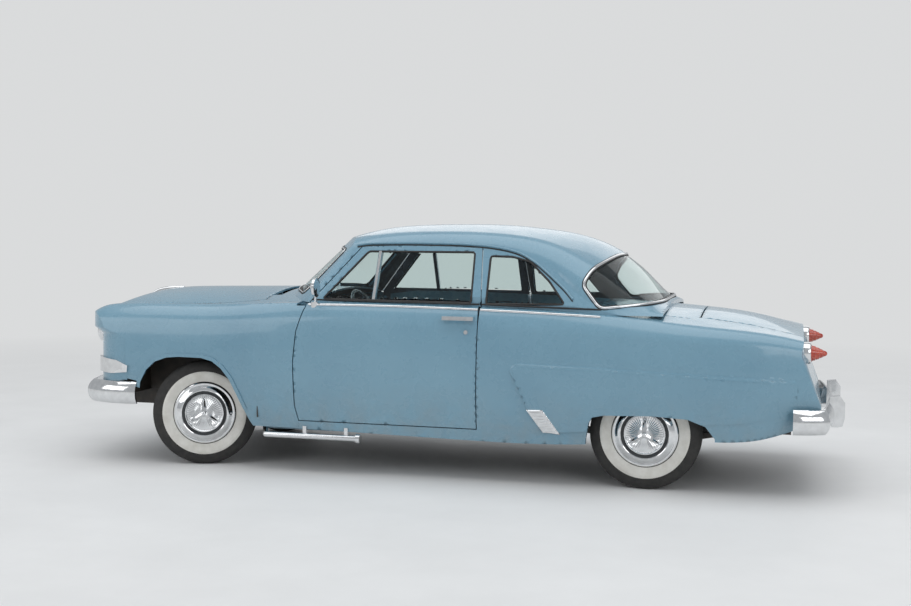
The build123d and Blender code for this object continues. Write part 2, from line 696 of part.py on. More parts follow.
def door_solid():
    lower = body_walls & block(-far, far, cabin_half_width, 1200, 0, 1400)
    lower -= block(640, far, 0, door_front_inner_y, 0, 1100)
    lower -= plan_plate([(-far, 912), (door_rear_x, 912), (door_rear_x + door_rear_relief, 780), (-far, 780)], 0, 1400)
    upper = shell & block(-far, far, 300, 1200, 0, 1600)
    frame_part = upper - side_plate(door_window, 0, far)
    post = (upper & side_plate(vent_post, 0, far)) & side_plate(door_window, 0, far)
    solid = (lower + frame_part + post) & side_plate(door_outline, 300, 1200)
    inner_step = roof_loft(frame_skin) & block(-far, 200, 300, 1200, 1100, 1600)
    solid -= inner_step - side_plate(ring_points(door_outline, -frame_step), 300, 1200)
    for z in hinge_heights:
        pocket = rod((hinge_x, hinge_y, z - pocket_half), (hinge_x, hinge_y, z + pocket_half), pocket_radius)
        solid -= pocket & body_loft(leaf_skin, inner_drop)
        solid -= rod((hinge_x, hinge_y, z - pin_half - 3), (hinge_x, hinge_y, z + pin_half + 3), pin_radius + fit_gap)
    return solid


door = door_solid()
add("door_left", door)
add("door_right", other_side(door))
door_glass = (pane & side_plate(ring_points(door_window, -fit_gap), 300, 1200)) - side_plate(
    ring_points(vent_post, fit_gap), 0, far)
door_glass -= body_seat
add("door_glass_left", door_glass)
add("door_glass_right", other_side(door_glass))
quarter_glass = both_sides(pane & side_plate(ring_points(quarter_window, -fit_gap), 300, 1200)) - body_seat
add("quarter_glass", quarter_glass)
screen_outline = ring_points(screen_opening + [(-y, z) for y, z in screen_opening[-2:0:-1]], -fit_gap)
windshield = (pane & cross_plate(screen_outline, 300, 1300)) & block(300, far, -far, far, 1000, 1600)
windshield -= body_seat
add("windshield", windshield)
back_glass = pane & side_plate(ring_points(rear_window, -fit_gap), -far, far)
back_glass -= body_seat
add("rear_window", back_glass)
add("roof", roof)
add("cowl", cowl)
add("hood", hood)
add("front_panel", front_panel)
add("quarter_left", quarter)
add("quarter_right", other_side(quarter))
add("deck_panel", deck)
add("tail_panel", tail)
add("trunk_lid", lid)
add("frame", frame)
add("floor", floor)

# Wheels: tyre, rim and cover are turned shapes round the spin axis.

half_tread = tyre_tread_width / 2
half_tyre = tyre_width / 2


def tyre_solid():
    """Tyre round the Y axis, outer side towards +Y."""
    stations = [
        (bead_half_width, bead_radius + 12), (half_tyre, tyre_belly_radius), (half_tyre - 8, tyre_radius - 26),
        (half_tread, tyre_radius - 2),
    ]
    stations = [(y, r) for y, r in stations] + [(-y, r) for y, r in stations[::-1]]
    rings = [Plane(origin=(0, y, 0), z_dir=(0, -1, 0)) * RegularPolygon(r, tyre_sides) for y, r in stations]
    body = Solid.make_loft([ring.wire() for ring in rings], ruled=True)
    return body - across(0, 0, bead_radius, -half_tyre, half_tyre)


def wheel_solid():
    """Rim, drum and full cover with a three-blade centre, round the Y axis."""
    half = rim_width / 2
    r = bead_radius - fit_gap
    bore = spindle_radius + fit_gap
    inner = rim_well_radius - rim_wall
    outline = [
        (half + 3, rim_flange_radius), (half - 1, rim_flange_radius), (half - 6, r), (half - 34, r),
        (half - 46, rim_well_radius), (-half + 20, rim_well_radius), (-half + 6, r), (-half + 1, rim_flange_radius),
        (-half - 3, rim_flange_radius), (-half + 9, inner), (12, inner), (4, bore), (4 + rim_wall, bore),
        (half - 40, inner), (half - 5, r - rim_wall),
    ]
    face = make_face(Polyline(*[Vector(b, a, 0) for a, b in outline], close=True))
    solid = revolve(face, Axis.Y, 360)
    drum_face_y = 7.0
    drum = [(drum_face_y, bore), (drum_face_y, drum_radius), (4 - drum_depth, drum_radius),
            (4 - drum_depth, drum_radius - 10), (-6, drum_radius - 10), (-6, bore)]
    solid += revolve(make_face(Polyline(*[Vector(b, a, 0) for a, b in drum], close=True)), Axis.Y, 360)
    c = cover_radius
    b = half + cover_bulge
    cover = [
        (half - 6, c - 11), (half + 5, c), (half + 15, c - 20), (b - 12, spinner_disc_radius + 6),
        (b - 16, spinner_disc_radius), (b, spinner_disc_radius - 10), (b + spinner_disc_rise, 40),
        (b + spinner_disc_rise + 12, 0), (b - 20, 0), (b - 24, spinner_disc_radius), (half - 4, c - 24),
    ]
    solid += revolve(make_face(Polyline(*[Vector(q, p, 0) for p, q in cover], close=True)), Axis.Y, 360)
    for i in range(spinner_blades):
        blade = [(0, -spinner_blade_root / 2), (spinner_blade_length, -spinner_blade_tip / 2),
                 (spinner_blade_length + 8, 0), (spinner_blade_length, spinner_blade_tip / 2), (0, spinner_blade_root / 2)]
        plate = make_face(Polyline(*[Vector(p, b - 8, q) for p, q in blade], close=True))
        plate = extrude(plate, amount=20, dir=Vector(0, 1, 0))
        solid += Rot(0, 360 / spinner_blades * i + 90, 0) * plate
    return solid


tyre = tyre_solid()
wheel = wheel_solid()
corners = {
    "front_left": (front_axle_x, front_track / 2, 1),
    "front_right": (front_axle_x, -front_track / 2, -1),
    "rear_left": (rear_axle_x, rear_track / 2, 1),
    "rear_right": (rear_axle_x, -rear_track / 2, -1),
}


def steered(shape, side):
    """Turned about the kingpin to the angle the car was left at."""
    pin = Pos(front_axle_x, side * kingpin_y, 0)
    return pin * Rot(0, 0, steer_at_rest) * pin.inverse() * shape


for name, (x, y, side) in corners.items():
    for kind, shape in (("tyre", tyre), ("wheel", wheel)):
        placed = shape if side == 1 else Rot(0, 0, 180) * shape
        placed = Pos(x, y, axle_z) * placed
        if name.startswith("front"):
            placed = steered(placed, side)
        add(f"{kind}_{name}", placed)

# Knuckles turn on their kingpins between the suspension arms.

knuckle_top_z = 428.0
knuckle_low_z = 256.0
arm_thickness = 20.0
kingpin_radius = 9.0
hub_y = front_track / 2


def knuckle_solid(side):
    y = side * kingpin_y
    body = block(front_axle_x - 24, front_axle_x + 24, y - 22, y + 22, knuckle_low_z, knuckle_top_z)
    body += rod((front_axle_x, y, knuckle_low_z - arm_thickness), (front_axle_x, y, knuckle_top_z + arm_thickness),
                kingpin_radius)
    body += rod((front_axle_x, y, axle_z), (front_axle_x, side * (hub_y + 26), axle_z), spindle_radius)
    body += rod((front_axle_x, side * (kingpin_y + 20), axle_z), (front_axle_x, side * (kingpin_y + 30), axle_z), 70)
    return steered(body, side)


add("knuckle_left", knuckle_solid(1))
add("knuckle_right", knuckle_solid(-1))


def suspension(side):
    x = front_axle_x
    y = side * kingpin_y
    inner = side * (rail_outer_y + fit_gap)
    arms = None
    for z, spread in ((knuckle_low_z - fit_gap - arm_thickness, 110), (knuckle_top_z + fit_gap, 80)):
        arm = plan_plate([(x - 30, y + side * 22), (x + 30, y + side * 22), (x + spread + 15, inner),
                          (x + spread - 15, inner), (x, y - side * 70), (x - spread + 15, inner),
                          (x - spread - 15, inner)], z, z + arm_thickness)
        arm -= rod((x, y, z - 1), (x, y, z + arm_thickness + 1), kingpin_radius + fit_gap)
        arms = arm if arms is None else arms + arm
    spring = rod((x, side * 530, knuckle_low_z - 10), (x, side * 530, knuckle_top_z + 10), 40)
    arms += spring
    arms += block(x - 60, x + 60, inner, side * 540, knuckle_low_z - 20, knuckle_low_z)
    return arms


add("front_suspension", suspension(1) + suspension(-1))

# Rear axle with leaf springs.

spring_y = 530.0
axle = across(rear_axle_x, axle_z, 38, -(rear_track / 2 - 70), rear_track / 2 - 70)
axle += across(rear_axle_x, axle_z, spindle_radius, -(rear_track / 2 + 26), rear_track / 2 + 26)
axle += Pos(rear_axle_x, 0, axle_z) * Sphere(135)
leaf_line = [(-860, 330), (-1150, 285), (-1467, 268), (-1780, 290), (-2080, 345)]
leaf_top = [(x, z + 36) for x, z in leaf_line]
leafs = both_sides(side_plate(leaf_line + leaf_top[::-1], spring_y - 30, spring_y + 30))
hangers = both_sides(block(-880, -840, rail_outer_y, spring_y + 30, 320, 370))
hangers += both_sides(block(-2100, -2060, rail_outer_y, spring_y + 30, 340, 410))
axle += leafs + hangers
axle -= frame
add("rear_axle", axle)

# Power train: plain masses at their places.

add("engine", block(1090, 1720, -230, 230, 300, 900) - frame)
add("radiator", block(1900, 1960, -330, 330, 430 + fit_gap, 930))
gearbox = rod((1090 - fit_gap, 0, 400), (640, 0, 400), 105) + rod((650, 0, 390), (rear_axle_x + 120, 0, axle_z + 20), 36)
gearbox -= Pos(rear_axle_x, 0, axle_z) * Sphere(135 + fit_gap)
gearbox -= frame
add("gearbox_shaft", gearbox)
add("fuel_tank", block(-2240, -1900, -300, 300, 300, floor_line[-1][1] - fit_gap) - frame)
pipe_radius = 26.0
exhaust = rod((-90, -250, 285), (-560, -250, 285), 70)
exhaust += bent_pipe([(1300, -262, 440), (1130, -262, 330), (940, -250, 245), (-80, -250, 245)], pipe_radius)
exhaust += rod((1300, -230 - fit_gap, 440), (1300, -262, 440), 34)
exhaust += bent_pipe([(-550, -250, 250), (-760, -250, 245), (-1000, -300, 300), (-1200, -350, 476), (-1900, -350, 480),
                      (-2080, -350, 390), (-2200, -350, 300), (-2440, -350, 296)], pipe_radius)
hanger_half = 8.0
for x, pipe_centre_z, member_z in ((400, 245, 280), (-650, 248, 280)):
    exhaust += block(x - hanger_half, x + hanger_half, -258, -242, pipe_centre_z, member_z)
exhaust += block(-1850 - hanger_half, -1850 + hanger_half, -358, -342, 445, 480)
add("exhaust", exhaust)

# Chrome side pipes under the rockers.

pipe_y = 882.0
pipe_z = 236.0
side_pipe = bent_pipe([(322, pipe_y, pipe_z), (965, pipe_y, pipe_z), (1040, 700, 300)], 19)
side_pipe += rod((322, pipe_y, pipe_z), (350, pipe_y, pipe_z), 29)
for x in (420, 700):
    side_pipe += block(x - 12, x + 12, 830, pipe_y, pipe_z - 6, 300)
side_pipe -= quarter
side_pipe -= nodes["front_fender_left"]
add("side_pipes", both_sides(side_pipe))

# Bumpers: hollow bars, arched in plan and crowned in height.

BarSection = namedtuple("BarSection", "z inset")
bumper_bar = [BarSection(392, 26), BarSection(425, 6), BarSection(480, 0), BarSection(540, 30)]


def bumper_wire(z, inset, reach, end_x, half_width, bow, sign):
    tip = half_width - inset
    front = reach - sign * inset
    corner = (front - sign * bow, tip - 70)
    return Wire([
        Edge.make_three_point_arc(Vector(corner[0], -corner[1], z), Vector(front, 0, z), Vector(corner[0], corner[1], z)),
        Edge.make_three_point_arc(
            Vector(corner[0], corner[1], z), Vector(corner[0] - sign * 110, tip - 14, z), Vector(end_x, tip, z)),
        Edge.make_line(Vector(end_x, tip, z), Vector(end_x, -tip, z)),
        Edge.make_three_point_arc(
            Vector(end_x, -tip, z), Vector(corner[0] - sign * 110, -tip + 14, z), Vector(corner[0], -corner[1], z)),
    ])


def bumper(reach, end_x, half_width, bow, sign):
    outer = Solid.make_loft([bumper_wire(s.z, s.inset, reach, end_x, half_width, bow, sign) for s in bumper_bar])
    hollow = [bumper_wire(s.z + spread, s.inset + 10, reach, end_x - sign * 5, half_width, bow, sign)
              for s, spread in ((bumper_bar[0], -1), (bumper_bar[2], 0), (bumper_bar[-1], 1))]
    return outer - Solid.make_loft(hollow, ruled=True)


front_reach = overall_length / 2 - origin_shift
rear_reach = -overall_length / 2 - origin_shift
front_bumper = bumper(front_reach, 1880, 914, 130, 1)
front_bumper += both_sides(block(2180.3, front_reach - 40, rail_inner_y, rail_outer_y, 400, 425))
front_bumper = front_bumper & block(-far, front_reach, -far, far, 0, 2000)
rear_bumper = bumper(rear_reach + 45, -2340, 912, 50, -1)
rear_bumper += both_sides(block(rear_reach + 90, -2330.3, rail_inner_y, rail_outer_y, 400, 425))
guard = side_plate([(rear_reach + 42, 392), (rear_reach + 12, 400), (rear_reach, 450), (rear_reach, 540),
                    (rear_reach + 30, 585), (rear_reach + 90, 578), (rear_reach + 90, 392)], 421, 477)
rear_bumper += both_sides(guard)
add("front_bumper", front_bumper)
add("rear_bumper", rear_bumper)

# Lamps, grille and brightwork.

headlamp = rod((lamp_face_x - 110, lamp_y, lamp_z), (lamp_face_x + 12, lamp_y, lamp_z), lamp_radius - fit_gap)
headlamp += Pos(lamp_face_x + 12, lamp_y, lamp_z) * Rot(0, 90, 0) * Pos(0, 0, 9) * Cone(lamp_radius - 8, 44, 18)
add("headlamps", both_sides(headlamp))
lamp_ring_x = tail_lamp_x - 40
lens_length = 96.0
tail_lamp = rod((tail_lamp_x, tail_lamp_y, tail_lamp_z), (lamp_ring_x, tail_lamp_y, tail_lamp_z), tail_lamp_radius)
tail_lamp += Pos(lamp_ring_x, tail_lamp_y, tail_lamp_z) * Rot(0, -90, 0) * Pos(0, 0, lens_length / 2) * Cone(
    54, 16, lens_length)
tail_lamp -= body_seat
tail_lamp += rod((tail_lamp_x + 50, tail_lamp_y, tail_lamp_z), (lamp_ring_x, tail_lamp_y, tail_lamp_z),
                 tail_lamp_radius - 12 - fit_gap)
add("tail_lamps", both_sides(tail_lamp))
grille_x0 = 2190.0
grille_x1 = 2228.0
grille = block(grille_x0, grille_x1, -600, 600, 678, 722)
grille += Pos(grille_x0 + 14, 0, 700) * Rot(0, 90, 0) * Cone(78, 40, 60)
grille += both_sides(block(grille_x0 + 6, grille_x1, 590, 720, 660, 740))
for y in (-420, -210, 210, 420):
    grille += block(grille_x0 + 8, grille_x1 - 14, y - 8, y + 8, 595, 810)
grille = grille & cross_plate(ring_points(grille_hole, -fit_gap), 2100, 2400)
add("grille", grille)

# Chrome pods of the parking lamps wrap round the front corners under the headlamps.

pod_rise = 14.0
pod_outline = [(2290, 600), (2290, 694), (2129, 692), (2019, 682), (1932, 648), (1939, 604), (2060, 592)]
pod_inner_y = 735.0
pod = body_loft(-pod_rise) & side_plate(pod_outline, pod_inner_y, 1200)
pod -= body_seat
add("parking_lamps", both_sides(pod))

# Door handles with their locks, and the driver's mirror on its post.

handle_z0 = 1012.0
handle_rise = 44.0
handle_x0 = -418.0
handle_x1 = -220.0
handle_height = 24.0
handle_solid = block(handle_x0, handle_x1, 700, 1000, handle_z0, handle_z0 + handle_height)
handle_solid &= body_loft(-handle_rise)
finger_gap = body_loft(-handle_rise + 14) & block(handle_x0 + 62, handle_x1 - 26, 700, 1000, 900, 1100)
handle = handle_solid - finger_gap - body_seat
lock_x = -368.0
lock_z = 939.0
lock = rod((lock_x, 850, lock_z), (lock_x, 1000, lock_z), 13) & body_loft(-8)
hardware = handle + (lock - body_seat)
add("door_hardware_right", other_side(hardware))
mirror_x = 630.0
mirror_y = 872.0
mirror_z = 1190.0
mirror_radius = 62.0
post = rod((mirror_x + 16, 846, 1060), (mirror_x, mirror_y, mirror_z), 8)
post += rod((mirror_x + 18, 846, 1000), (mirror_x + 18, 846, 1098), 26)
post -= body_seat
head = rod((mirror_x - 6, mirror_y, mirror_z), (mirror_x + 10, mirror_y, mirror_z), mirror_radius)
head += Pos(mirror_x + 10, mirror_y, mirror_z) * Rot(0, 90, 0) * Pos(0, 0, 8) * Cone(mirror_radius, mirror_radius - 24, 16)
add("door_hardware_left", hardware + post + head)

# Interior

dash_half_width = pillar_inner_y - fit_gap
dash = side_plate([(880, 860), (900, 1060), (820, 1085), (700, 1070), (660, 1000), (690, 880)],
                  -dash_half_width, dash_half_width)
dash -= cowl
dash = dash & body_loft(vent_recess + 12, inner_drop)
add("dashboard", dash)
wheel_rim_radius = 215.0
wheel_place = Pos(*column_top) * Rot(0, 90 + column_tilt, 0)
rim_section = Plane.XZ * Pos(wheel_rim_radius, 0) * RegularPolygon(13, 8)
steering = wheel_place * revolve(rim_section, Axis.Z, 360)
steering += rod(column_top, column_foot, column_radius)
steering += wheel_place * Cylinder(45, 24)
for a in (90, 270):
    steering += wheel_place * Rot(0, 0, a) * Pos(wheel_rim_radius / 2 - 2, 0, 0) * Box(wheel_rim_radius - 5, 26, 8)
add("steering_wheel", steering)
front_seat = side_plate([(-190, 382.3), (230, 382.3), (280, 600), (240, 660), (-150, 630), (-255, 1010), (-330, 1010),
                         (-360, 960), (-290, 560)], -640, 640)
add("front_seat", front_seat - nodes["floor"] - seat_tunnel)
rear_seat = side_plate([(-955, 382.3), (-640, 382.3), (-600, 600), (-640, 680), (-1000, 640), (-1100, 1010), (-1126, 1010),
                        (-1126, 560)], -590, 590)
add("rear_seat", rear_seat - nodes["floor"] - seat_tunnel)

shift = Pos(origin_shift, 0, 0)
for name, shape in nodes.items():
    placed = shift * shape
    placed.label = name
    export_step(placed, os.path.join("parts", f"{name}.step"))
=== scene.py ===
import bpy
import bmesh
import json
import math
import numpy as np
from mathutils import Matrix, Vector


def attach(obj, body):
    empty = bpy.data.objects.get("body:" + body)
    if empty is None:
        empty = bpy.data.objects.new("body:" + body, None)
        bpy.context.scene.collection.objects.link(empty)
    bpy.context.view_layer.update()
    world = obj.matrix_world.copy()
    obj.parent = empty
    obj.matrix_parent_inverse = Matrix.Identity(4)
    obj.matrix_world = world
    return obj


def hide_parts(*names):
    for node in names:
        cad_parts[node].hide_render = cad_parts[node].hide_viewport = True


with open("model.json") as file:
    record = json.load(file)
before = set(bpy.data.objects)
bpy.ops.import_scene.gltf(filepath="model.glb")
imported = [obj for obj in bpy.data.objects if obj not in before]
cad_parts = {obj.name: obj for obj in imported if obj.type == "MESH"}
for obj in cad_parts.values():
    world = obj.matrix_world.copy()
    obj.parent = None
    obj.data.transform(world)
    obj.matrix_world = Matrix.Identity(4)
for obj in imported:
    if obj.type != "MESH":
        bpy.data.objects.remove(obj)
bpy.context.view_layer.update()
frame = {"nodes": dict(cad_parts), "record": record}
nodes = frame["nodes"]

# Studio: a pale plain floor, broad soft lights from above and the sides, and the camera where
# the photographer stood, low and beside the car, a little behind its middle.
ORIGIN_SHIFT = 126.5
CAMERA_PLACE = (-2338.6, 8933.9, 1596.5)
YAW, PITCH, ROLL = (math.radians(angle) for angle in (14.262, -3.306, 0.651))
CAMERA_LENS = 53.0
SOFT_BOXES = [
    # place in metres, length, energy
    ((0.0, 1.0, 9.0), 15.0, 520),
    ((-9.0, 9.0, 5.5), 9.0, 260),
    ((9.0, 9.0, 5.5), 9.0, 230),
    ((0.0, -11.0, 6.0), 11.0, 170),
]
LIGHTS_AIM = Vector((0, 0, 0.6))
BACKDROP = (0.70, 0.71, 0.715, 1)
FLOOR_FADE = (3.6, 11.0)
FLOOR_HALF = 90
scene = bpy.context.scene


def metres(points):
    """From the drawing's millimetres, measured from the middle of the wheelbase, to the frame."""
    moved = np.array(points, dtype=float)
    moved[..., 0] += ORIGIN_SHIFT
    return moved / 1000.0


def fill(tree, made, values):
    """Sets or links the inputs of a shader node, by name or number."""
    for key, value in values.items():
        if isinstance(value, bpy.types.NodeSocket):
            tree.links.new(value, made.inputs[key])
        else:
            made.inputs[key].default_value = value
    return made


def node_material(name, color, roughness, metallic=0.0, coat=0.0):
    """Material with one plain surface shader."""
    made = bpy.data.materials.new(name)
    made.use_nodes = True
    shader = made.node_tree.nodes["Principled BSDF"]
    values = {"Base Color": (*color, 1), "Roughness": roughness, "Metallic": metallic, "Coat Weight": coat}
    return made, made.node_tree, fill(made.node_tree, shader, values)


def own_place(tree):
    """Places in the object's own coordinates."""
    return tree.nodes.new("ShaderNodeTexCoord").outputs["Object"]


def noise(tree, scale, detail=3.0, roughness=0.5, distortion=0.0):
    """Cloud that stands still on the object."""
    values = {"Scale": scale, "Detail": detail, "Roughness": roughness, "Distortion": distortion}
    made = fill(tree, tree.nodes.new("ShaderNodeTexNoise"), values)
    return fill(tree, made, {"Vector": own_place(tree)}).outputs[0]


def ramp(tree, source, low, high, low_value, high_value):
    """A value carried over from one range to another."""
    values = {"From Min": low, "From Max": high, "To Min": low_value, "To Max": high_value, "Value": source}
    return fill(tree, tree.nodes.new("ShaderNodeMapRange"), values).outputs[0]


def mix(tree, factor, first, second):
    """Blend of two colours, each given as a colour or a socket."""
    made = tree.nodes.new("ShaderNodeMix")
    made.data_type = "RGBA"
    first, second = ((*item, 1) if isinstance(item, tuple) else item for item in (first, second))
    return fill(tree, made, {0: factor, 6: first, 7: second}).outputs[2]


def bump(tree, shader, height, strength, distance):
    """Fine relief of a surface."""
    values = {"Strength": strength, "Distance": distance, "Height": height}
    made = fill(tree, tree.nodes.new("ShaderNodeBump"), values)
    tree.links.new(made.outputs[0], shader.inputs["Normal"])


def either(tree, factor, first, second, output):
    """Sends a blend of two shaders to an output node."""
    values = {0: factor, 1: first.outputs[0], 2: second.outputs[0]}
    made = fill(tree, tree.nodes.new("ShaderNodeMixShader"), values)
    tree.links.new(made.outputs[0], tree.nodes[output].inputs[0])


def mottled(name, dark, light, scale, roughness, metallic=0.0, coat=0.0, grain=0.0, rough_span=0.0):
    """Finish with a soft change of tone, and a fine surface grain where asked."""
    made, tree, shader = node_material(name, light, roughness, metallic, coat)
    cloud = noise(tree, scale, 5.0, 0.6)
    fill(tree, shader, {"Base Color": mix(tree, ramp(tree, cloud, 0.32, 0.7, 0.0, 1.0), dark, light)})
    if rough_span:
        fill(tree, shader, {"Roughness": ramp(tree, cloud, 0.3, 0.75, roughness, roughness + rough_span)})
    if grain:
        bump(tree, shader, noise(tree, scale * 12.0, 4.0), grain, 0.001)
    return made


def linked(name, mesh, materials=()):
    """Object in the scene with a mesh and its materials."""
    made = bpy.data.objects.new(name, mesh)
    scene.collection.objects.link(made)
    for item in materials:
        mesh.materials.append(item)
    return made


scene.world = bpy.data.worlds.new("studio")
scene.world.use_nodes = True
tree = scene.world.node_tree
sky = fill(tree, tree.nodes["Background"], {0: (0.90, 0.93, 0.96, 1), 1: 0.50})
seen = fill(tree, tree.nodes.new("ShaderNodeBackground"), {0: BACKDROP, 1: 1.0})
ray = tree.nodes.new("ShaderNodeLightPath")
either(tree, ray.outputs["Is Camera Ray"], sky, seen, "World Output")

floor_material = mottled("studio_floor", (0.76, 0.765, 0.765), (0.81, 0.815, 0.815), 1.2, 0.6)
tree = floor_material.node_tree
plain = fill(tree, tree.nodes.new("ShaderNodeEmission"), {0: BACKDROP})
reach = tree.nodes.new("ShaderNodeVectorMath")
reach.operation = "LENGTH"
fill(tree, reach, {0: own_place(tree)})
fade = ramp(tree, reach.outputs["Value"], *FLOOR_FADE, 0.0, 1.0)
either(tree, fade, tree.nodes["Principled BSDF"], plain, "Material Output")
mesh = bpy.data.meshes.new("studio_floor")
corners = [(x * FLOOR_HALF, y * FLOOR_HALF, 0) for x, y in ((-1, -1), (1, -1), (1, 1), (-1, 1))]
mesh.from_pydata(corners, [], [(0, 1, 2, 3)])
linked("studio_floor", mesh, [floor_material])

for place, size, energy in SOFT_BOXES:
    lamp = bpy.data.lights.new("soft_box", "AREA")
    lamp.shape = "RECTANGLE"
    lamp.size = size
    lamp.size_y = size * 0.6
    lamp.energy = energy
    holder = bpy.data.objects.new("soft_box", lamp)
    scene.collection.objects.link(holder)
    holder.location = place
    holder.rotation_euler = (LIGHTS_AIM - Vector(place)).to_track_quat("-Z", "Y").to_euler()

camera = bpy.data.cameras.new("camera")
camera.sensor_width = 36.0
camera.lens = CAMERA_LENS
camera.clip_end = 200.0
scene.camera = bpy.data.objects.new("camera", camera)
scene.collection.objects.link(scene.camera)
heading = Vector((math.sin(YAW) * math.cos(PITCH), -math.cos(YAW) * math.cos(PITCH), math.sin(PITCH)))
turn = heading.to_track_quat("-Z", "Y").to_matrix().to_4x4() @ Matrix.Rotation(ROLL, 4, "Z")
scene.camera.matrix_world = Matrix.Translation(metres([CAMERA_PLACE])[0]) @ turn
scene.view_settings.view_transform = "Standard"

# Paint: sky-blue enamel, glossy but old, with faint orange peel, road dust low on the sides,
# small stone flecks and a slow change of tone from one panel to the next.
paint, tree, shader = node_material("body_enamel", (0.165, 0.315, 0.415), 0.25, 0.0, 0.6)
tone = ramp(tree, noise(tree, 1.1, 4.0, 0.55), 0.35, 0.7, 0.0, 1.0)
tone = mix(tree, tone, (0.150, 0.295, 0.395), (0.185, 0.345, 0.445))
flecks = ramp(tree, noise(tree, 150.0, 2.0), 0.755, 0.80, 0.0, 0.6)
tone = mix(tree, flecks, tone, (0.12, 0.10, 0.09))
height = fill(tree, tree.nodes.new("ShaderNodeSeparateXYZ"), {0: own_place(tree)}).outputs[2]
dust = tree.nodes.new("ShaderNodeMath")
dust.operation = "MULTIPLY"
patches = ramp(tree, noise(tree, 7.0, 6.0, 0.65, 0.4), 0.35, 0.7, 0.0, 1.0)
fill(tree, dust, {0: ramp(tree, height, 0.27, 0.62, 0.5, 0.0), 1: patches})
fill(tree, shader, {
    "Base Color": mix(tree, dust.outputs[0], tone, (0.23, 0.26, 0.27)), "Coat Roughness": 0.05,
    "Roughness": ramp(tree, noise(tree, 9.0, 6.0, 0.65, 0.4), 0.3, 0.75, 0.2, 0.38),
})
bump(tree, shader, noise(tree, 190.0, 2.0), 0.04, 0.001)
inner_paint = mottled("panel_inside", (0.07, 0.085, 0.10), (0.12, 0.14, 0.155), 20.0, 0.6)
chrome = mottled("chrome_plate", (0.68, 0.69, 0.70), (0.80, 0.81, 0.82), 26.0, 0.05, 1.0, rough_span=0.09)
rubber = mottled("seal_rubber", (0.012, 0.012, 0.013), (0.03, 0.03, 0.029), 60.0, 0.6, grain=0.1)
trim_cloth = mottled("door_lining", (0.06, 0.085, 0.12), (0.10, 0.13, 0.17), 120.0, 0.85, grain=0.2)
PAINT = (paint, "body_paint")
CHROME = (chrome, "bright_metal")
SEAL = (rubber, "body_paint")

# Sheet metal: pressed panels that follow one drawing of cross sections. Each CAD panel is
# carried over with its cut-outs and edges and gets the true curvature of the pressing.
BODY_COLUMNS = ("edge_y", "edge_z", "side_y", "side_z", "shoulder_y", "shoulder_z", "crest_y", "crest_z",
                "valley_y", "valley_z", "crown_z")
BODY_SECTIONS = np.array([
    (-2500, 770, 440, 822, 690, 806, 855, 735, 915, 600, 920, 934),
    (-2330, 800, 400, 850, 690, 836, 872, 760, 950, 610, 958, 975),
    (-2150, 835, 345, 888, 690, 872, 890, 785, 980, 620, 992, 1028),
    (-1750, 860, 320, 915, 690, 898, 905, 800, 1015, 635, 1040, 1082),
    (-1340, 868, 290, 926, 700, 908, 925, 830, 1048, 700, 1070, 1105),
    (-900, 870, 262, 930, 710, 912, 940, 852, 1070, 790, 1084, 1120),
    (-300, 870, 262, 931, 720, 914, 955, 853, 1086, 795, 1099, 1140),
    (400, 870, 275, 931, 725, 914, 960, 853, 1091, 795, 1104, 1150),
    (900, 868, 281, 928, 720, 909, 955, 835, 1082, 740, 1088, 1158),
    (1300, 864, 290, 922, 715, 900, 940, 785, 1066, 650, 1060, 1152),
    (1800, 858, 400, 912, 710, 888, 935, 762, 1060, 635, 1046, 1140),
    (2100, 845, 495, 898, 705, 874, 928, 750, 1046, 625, 1032, 1106),
    (2230, 832, 545, 880, 700, 856, 910, 735, 1010, 615, 1002, 1042),
    (2290, 815, 560, 862, 700, 838, 880, 715, 955, 600, 948, 965),
], dtype=float)
ROOF_COLUMNS = ("belt_y", "drip_y", "drip_z", "corner_y", "corner_z", "crown_z")
ROOF_SECTIONS = np.array([
    (-1560, 772, 752, 1078, 560, 1105, 1118),
    (-1400, 790, 768, 1085, 600, 1190, 1275),
    (-1210, 812, 785, 1110, 610, 1310, 1434),
    (-1010, 826, 748, 1210, 575, 1425, 1524),
    (-860, 833, 695, 1332, 540, 1490, 1560),
    (-700, 838, 655, 1428, 525, 1530, 1582),
    (-500, 843, 642, 1473, 525, 1553, 1600),
    (-220, 846, 642, 1487, 525, 1563, 1607),
    (100, 846, 640, 1488, 520, 1557, 1600),
    (480, 833, 628, 1462, 500, 1513, 1552),
    (640, 822, 618, 1424, 490, 1462, 1492),
    (1000, 800, 600, 1270, 470, 1300, 1330),
], dtype=float)
BELT_Z = 1060.0
SCREEN = {"base_x": 996.0, "base_z": 1158.0, "lean": 358.0 / 331.0, "half": 800.0, "bow": 349.0}
SCREEN_RADIUS = (SCREEN["half"] ** 2 + SCREEN["bow"] ** 2) / (2 * SCREEN["bow"])
END_Z = [100, 560, 850, 892, 1400]
FRONT_END_X = [2230, 2230, 2230, 2290, 2290]
TAIL_END_X = [-2500, -2500, -2392, -2390, -2390]
CORNER_OUTER_Y = 900.0
FRONT_CORNER = (270.0, 280.0)
TAIL_CORNER = (120.0, 130.0)
MESH_STEP = 32.0
# A CAD face may follow a form when it lies near it, in millimetres outward, and in line with it;
# the ends of the car take only faces right at them. Most of a surface decides for all of it.
DEEPEST, DEEPEST_AT_END, HIGHEST = -75, -16, 20
IN_LINE = 0.975
MOST = 0.6
PLACES_PER_MM = 50
SHADED_PER_MM = 20
NORMALS_PER_UNIT = 100
MOST_CUTS = 9


